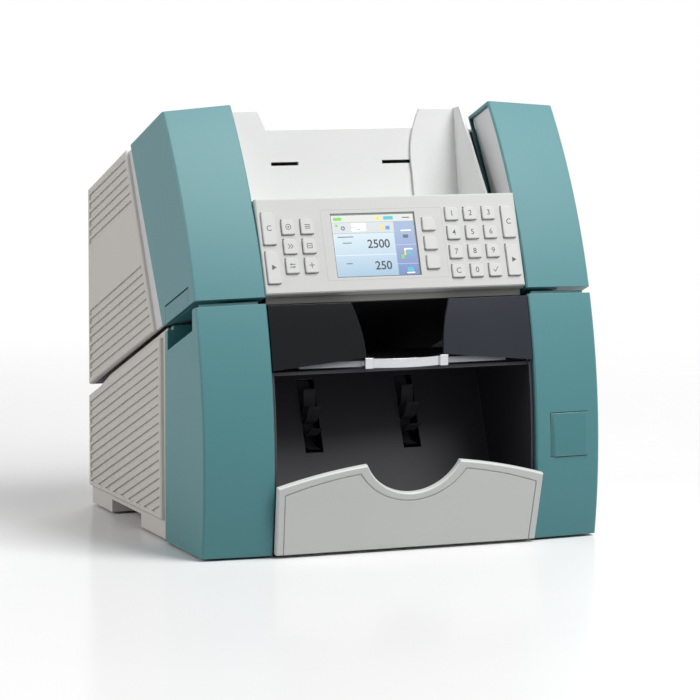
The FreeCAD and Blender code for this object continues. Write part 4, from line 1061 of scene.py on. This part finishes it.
@dataclass(frozen=True)
class KeyMark:
    """What is printed on a key.

    Attributes:
        key: Name of the key, which is also its body.
        u: Place across the panel, in millimetres.
        v: Place up the slope, in millimetres.
        sign: Shape of the mark.
        text: What a letter mark reads.
    """

    key: str
    u: float
    v: float
    sign: Sign
    text: str = ""


@dataclass
class ControlPanel(SubAssembly):
    """Panel with the keys and the display.

    Sizes are in millimetres, and places are across the panel and up its slope.

    Attributes:
        digit_columns: Places of the number block across the panel.
        digit_rows: Places of the number block up the slope.
        function_columns: Places of the function keys across the panel.
        function_rows: Places of the function keys up the slope.
        edge_columns: Places of the tall keys across the panel.
        edge_rows: Places of the tall keys up the slope.
        digit_height: Height of a digit on a key.
        stroke_line: Width of a printed stroke.
        glass_depth: Depth of the display glass below the panel.
        count_height: Height of a digit on the display.
        count_boldness: Growth of its strokes, as a share of the height.
        border: Width, height, line width and corner radius of the line round the display.
        border_place: Middle of that line.
        border_sink: Depth of its foot below the panel's face.
        lip: Width, height, corner radius and thickness of the lip under the panel.
        lip_place: Rear of the lip behind the foot of the panel's face, and its middle below it.
        cover: Width, height, corner radius and thickness of the cover behind the key board.
        cover_place: Middle of the cover up the slope, and its rear behind the panel's face.
    """

    digit_columns: tuple[float, ...] = (52.75, 68.45, 84.15)
    digit_rows: tuple[float, ...] = (58.95, 43.62, 28.28, 12.95)
    function_columns: Pair = (-84.65, -68.95)
    function_rows: Triple = (52.0, 36.67, 21.33)
    edge_columns: Pair = (-100.45, 100.45)
    edge_rows: Pair = (51.15, 20.48)
    digit_height: float = 4.3
    stroke_line: float = 0.55
    glass_depth: float = 0.9
    count_height: float = 6.6
    count_boldness: float = 0.022
    border: Sizes = (101.6, 56.3, 0.35, 1.0)
    border_place: Pair = (-5.8, 36.85)
    border_sink: float = 0.05
    lip: Sizes = (213.0, 5.2, 0.6, 1.3)
    lip_place: Pair = (6.8, 5.8)
    cover: Sizes = (213.6, 69.4, 1.0, 1.1)
    cover_place: Pair = (37.5, 8.8)

    def finishes(self) -> dict[Look, Names]:
        """Names of the solids that have each finish."""
        return {Look.KEY_WHITE: tuple(name for name in self.nodes if name.startswith("key_")),
                Look.PANEL_WHITE: ("control_panel",), Look.PICTURE: ("display",),
                Look.BOARD: ("keypad_board",)}

    def marks(self) -> list[KeyMark]:
        """Marks of all the keys that have one.

        Returns:
            The marks.
        """
        texts = [str(number) for number in range(1, 10)] + ["C", "0", ""]
        keys = [f"key_digit_{text}" for text in texts[:9]] + ["key_cancel", "key_digit_0", "key_confirm"]
        listed = []
        for number, (key, text) in enumerate(zip(keys, texts)):
            row, column = divmod(number, 3)
            place = self.digit_columns[column], self.digit_rows[row]
            listed.append(KeyMark(key, *place, Sign.LETTER if text else Sign.TICK, text))
        signs = (Sign.RING, Sign.BARS, Sign.CHEVRONS, Sign.SQUARES, Sign.SLIDERS, Sign.PLUS)
        for number, sign in enumerate(signs):
            row, column = divmod(number, 2)
            place = self.function_columns[column], self.function_rows[row]
            listed.append(KeyMark(f"key_function_{number + 1}", *place, sign))
        for side, u in zip(("left", "right"), self.edge_columns):
            listed.append(KeyMark(f"key_clear_{side}", u, self.edge_rows[0], Sign.LETTER, "C"))
            listed.append(KeyMark(f"key_start_{side}", u, self.edge_rows[1], Sign.ARROW))
        return listed

    def draw(self, mark: KeyMark) -> bpy.types.Object:
        """Draws one mark on the bench.

        Args:
            mark: Mark to draw.

        Returns:
            The mark.
        """
        bench = self.bench
        if mark.sign is Sign.LETTER:
            return bench.words(mark.text, self.digit_height)
        if mark.sign is Sign.ARROW:
            return bench.disc(2.5, 3, 0.25)
        if mark.sign is Sign.RING:
            return bench.join([bench.ring(2.3, 0.5), bench.disc(0.7)])
        if mark.sign is Sign.SQUARES:
            return bench.join([bench.frame(4.4, 4.0, 0.5, 0.5),
                               bench.stroke((-0.9, 0.0), (0.9, 0.0), self.stroke_line)])
        strokes = {
            Sign.TICK: [((-1.8, 0.0), (-0.5, -1.6)), ((-0.5, -1.6), (2.0, 1.9))],
            Sign.BARS: [((-2.0, 1.4), (2.0, 1.4)), ((-2.0, 0.0), (2.0, 0.0)), ((-2.0, -1.4), (2.0, -1.4))],
            Sign.CHEVRONS: [((-1.8, 1.7), (-0.2, 0.0)), ((-0.2, 0.0), (-1.8, -1.7)),
                            ((0.4, 1.7), (2.0, 0.0)), ((2.0, 0.0), (0.4, -1.7))],
            Sign.SLIDERS: [((-2.1, 1.1), (2.1, 1.1)), ((-2.1, -1.1), (2.1, -1.1)), ((-0.9, 0.5), (-0.9, 1.7)),
                           ((0.9, -1.7), (0.9, -0.5))],
            Sign.PLUS: [((-2.0, 0.0), (2.0, 0.0)), ((0.0, -2.0), (0.0, 2.0))],
        }[mark.sign]
        return bench.join([bench.stroke(start, end, self.stroke_line) for start, end in strokes])

    def build(self) -> None:
        """Models the key marks, the display's signs and line, the lip below and the cover behind."""
        for mark in self.marks():
            seat = panel_seat(mark.u, mark.v, KEY_PROUD - PRINT_SINK)
            if mark.sign is Sign.ARROW:
                seat = seat.turned(-90.0)
            piece = self.bench.set_down(self.draw(mark), seat)
            self.keep(piece, f"mark_{mark.key}", Look.LEGEND, mark.key)
        # the lip under the panel is darkened to a grey as painted shade
        behind, below = self.lip_place
        middle = point(0.0, PANEL_FOOT_Y + behind, PANEL_FOOT_Z - below)
        seat = Seat(middle, Vector((1, 0, 0)), Vector((0, 0, 1)))
        self.slab("panel_lower_lip", Look.LIP, "head", self.lip, seat)
        middle, behind = self.cover_place
        self.slab("panel_back_cover", Look.PANEL_WHITE, "head", self.cover, panel_seat(0.0, middle, -behind))
        seat = panel_seat(*self.border_place, -self.border_sink)
        border = self.bench.set_down(self.bench.frame(*self.border), seat)
        self.keep(border, "display_surround_line", Look.SEAM, "head")
        self.counts()
        self.signs()

    def on_glass(self, piece: bpy.types.Object, u: float, v: float) -> bpy.types.Object:
        """Sets a piece down on the display glass."""
        return self.bench.set_down(piece, panel_seat(u, v, -self.glass_depth - PRINT_SINK))

    def counts(self) -> None:
        """Models the two counts on the display."""
        for place, text, u, v in (("upper", "2500", -10.6, 36.9), ("lower", "250", -8.6, 19.6)):
            count = self.bench.words(text, self.count_height, self.count_boldness)
            self.keep(self.on_glass(count, u, v), f"display_count_{place}", Look.COUNT, "head")

    def signs(self) -> None:
        """Models the small coloured signs on the display, one piece for each colour."""
        bar, dot, ring = self.bench.plate, self.bench.disc, self.bench.ring
        for colour, look, parts in (
                ("green", Look.GREEN, [(bar(7.0, 2.6, 0.8), -42.6, 57.6), (bar(2.4, 3.4, 0.5), 8.4, 26.4),
                                       (dot(1.1), -43.9, 52.4)]),
                ("yellow", Look.YELLOW, [(dot(1.5), -8.7, 57.6), (dot(1.6), -6.0, 50.0),
                                         (bar(1.2, 4.2, 0.3), 10.6, 29.6)]),
                ("cyan", Look.CYAN, [(bar(8.2, 2.8, 0.9), -0.2, 57.6), (bar(5.2, 3.0, 0.6), 13.6, 16.2),
                                     (bar(4.6, 2.4, 0.5), 14.2, 29.0)]),
                ("blue", Look.BLUE, [(bar(3.6, 3.0, 0.5), -1.6, 49.8)]),
                ("pale", Look.PALE, [(bar(12.0, 2.6, 0.7), -25.6, 52.6), (bar(12.0, 2.6, 0.7), -25.6, 49.0),
                                     (bar(8.6, 0.8, 0.2), 13.4, 47.2), (bar(7.0, 0.9, 0.2), 13.6, 32.4),
                                     (bar(6.4, 0.9, 0.2), 13.6, 13.4)]),
                ("dark", Look.SMALL_INK, [
                    (ring(1.7, 0.8, 12), -38.8, 50.2), (bar(13.0, 0.7, 0.2), -37.6, 43.2),
                    (bar(7.4, 0.7, 0.2), -36.6, 38.4), (bar(5.2, 0.7, 0.2), -36.8, 22.0),
                    (bar(6.2, 0.8, 0.2), 14.6, 57.6), (bar(4.4, 0.6, 0.2), -25.6, 52.6),
                    (bar(4.4, 0.6, 0.2), -25.6, 49.0), (bar(4.6, 2.6, 0.4), 12.6, 42.6)])):
            placed = [self.on_glass(piece, u, v) for piece, u, v in parts]
            self.keep(self.bench.join(placed), f"display_signs_{colour}", look, "head")


@dataclass(frozen=True)
class SoftLamp:
    """Square soft lamp.

    Attributes:
        name: Name of the lamp.
        place: Where it hangs, in metres.
        side: Length of its side, in metres.
        power: Its power, in watts.
    """

    name: str
    place: Triple
    side: float
    power: float

    def hang(self, target: Triple) -> None:
        """Hangs the lamp in the scene.

        Args:
            target: Where it points.
        """
        light = bpy.data.lights.new(self.name, "AREA")
        light.shape = "SQUARE"
        light.size = self.side
        light.energy = self.power
        lamp = bpy.data.objects.new(self.name, light)
        lamp.location = self.place
        lamp.rotation_mode = "QUATERNION"
        lamp.rotation_quaternion = (Vector(target) - Vector(self.place)).to_track_quat("-Z", "Y")
        bpy.context.scene.collection.objects.link(lamp)


@dataclass
class Studio:
    """Floor, light and camera.

    Attributes:
        lens: Focal length, in millimetres.
        eye: Place of the camera.
        yaw: Turn of the camera towards the right, in degrees.
        pitch: Tilt of the camera downwards.
        roll: Roll of the camera.
        ambient: Level of the light from all round.
        bounce: Lightness of the floor as it lights the machine.
        floor_radius: Radius of the floor, in metres.
        fade: Where the floor starts to fade and where it is gone, in metres from the middle.
        sheen: Share and roughness of the floor's mirror image.
        target: Where all lamps point.
        lamps: The lamps.
    """

    lens: float = 174.18
    eye: Triple = (-1.00442, -2.51798, 0.46881)
    yaw: float = 21.892
    pitch: float = 6.911
    roll: float = 0.228
    ambient: float = 0.16
    bounce: float = 0.3
    floor_radius: float = 6.0
    fade: Pair = (0.45, 1.3)
    sheen: Pair = (0.13, 0.16)
    target: Triple = (0.0, 0.0, 0.2)
    lamps: tuple[SoftLamp, ...] = (
        SoftLamp("key_softbox", (0.7, -1.3, 1.55), 1.0, 21.0),
        SoftLamp("brow_softbox", (0.55, -0.75, 2.0), 0.9, 21.0),
        SoftLamp("left_softbox", (-1.75, -0.1, 0.95), 1.0, 12.0),
        SoftLamp("rear_softbox", (0.9, 1.6, 1.0), 1.0, 12.0),
    )

    def camera(self) -> None:
        """Makes the camera of the scene."""
        yaw, pitch, roll = (math.radians(angle) for angle in (self.yaw, self.pitch, self.roll))
        ahead = Vector((math.sin(yaw) * math.cos(pitch), math.cos(yaw) * math.cos(pitch), -math.sin(pitch)))
        level = Vector((math.cos(yaw), -math.sin(yaw), 0.0))
        over = level.cross(ahead)
        right = level * math.cos(roll) + over * math.sin(roll)
        up = over * math.cos(roll) - level * math.sin(roll)
        lens = bpy.data.cameras.new("camera")
        lens.lens = self.lens
        lens.sensor_width = 36.0
        lens.clip_end = 60.0
        camera = bpy.data.objects.new("camera", lens)
        camera.matrix_world = Matrix.Translation(self.eye) @ Matrix((right, up, -ahead)).transposed().to_4x4()
        bpy.context.scene.collection.objects.link(camera)
        bpy.context.scene.camera = camera

    def sky(self) -> None:
        """Sets an even light all round, white where it is seen or mirrored."""
        world = bpy.data.worlds.new("studio")
        bpy.context.scene.world = world
        world.use_nodes = True
        tree = NodeTree(world.node_tree)
        tree.nodes.clear()
        strength = self.ambient + tree.seen() * (1.0 - self.ambient)
        glow = tree.take("ShaderNodeBackground", None, {"Color": WHITE, "Strength": strength})
        tree.add("ShaderNodeOutputWorld", None, {"Surface": glow})

    def floor(self) -> None:
        """Makes a pale floor with a faint sheen that fades out with distance."""
        bpy.ops.object.select_all(action="DESELECT")
        bpy.ops.mesh.primitive_circle_add(vertices=96, radius=self.floor_radius, fill_type="NGON")
        floor = bpy.context.object
        floor.name = "floor"
        tree = FinishTree("pale_floor")
        pale = tree.mix(tree.noise(3.0), linear("F4F4F4"), linear("F8F8F8"))
        dim = (self.bounce, self.bounce, self.bounce, 1.0)
        tree.surface({"Base Color": tree.mix(tree.seen(), dim, pale), "Roughness": 1.0,
                      "Specular IOR Level": 0.0})
        share, roughness = self.sheen
        mirror = tree.take("ShaderNodeBsdfGlossy", None, {"Color": WHITE, "Roughness": roughness})
        matt = Term(tree, tree.shader.outputs[0])
        near = tree.take("ShaderNodeMixShader", None, {0: share, 1: matt, 2: mirror})
        reach = tree.take("ShaderNodeVectorMath", {"operation": "LENGTH"}, {0: tree.place}, "Value")
        clear = tree.take("ShaderNodeBsdfTransparent")
        far = tree.take("ShaderNodeMixShader", None, {0: reach.eased(*self.fade), 1: near, 2: clear})
        tree.feed(tree.nodes["Material Output"].inputs["Surface"], far)
        floor.data.materials.append(tree.material)

    def build(self) -> None:
        """Sets up the whole studio."""
        self.camera()
        self.sky()
        self.floor()
        for lamp in self.lamps:
            lamp.hang(self.target)
        bpy.context.scene.view_settings.view_transform = "Standard"


def main() -> None:
    """Loads the frame, builds each part of the machine in order and sets up the studio."""
    logging.basicConfig(level=logging.INFO, format="%(message)s")
    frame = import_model()
    bench, wardrobe = Bench(), Wardrobe()
    for kind in (LowerHousing, Stacker, RejectFlap, Head, ControlPanel):
        part = kind(bench, wardrobe, frame["nodes"])
        part.dress()
        part.build()
        LOG.info("%s has %d pieces of its own", kind.__name__, len(part.pieces))
    Studio().build()


if __name__ == "__main__":
    main()
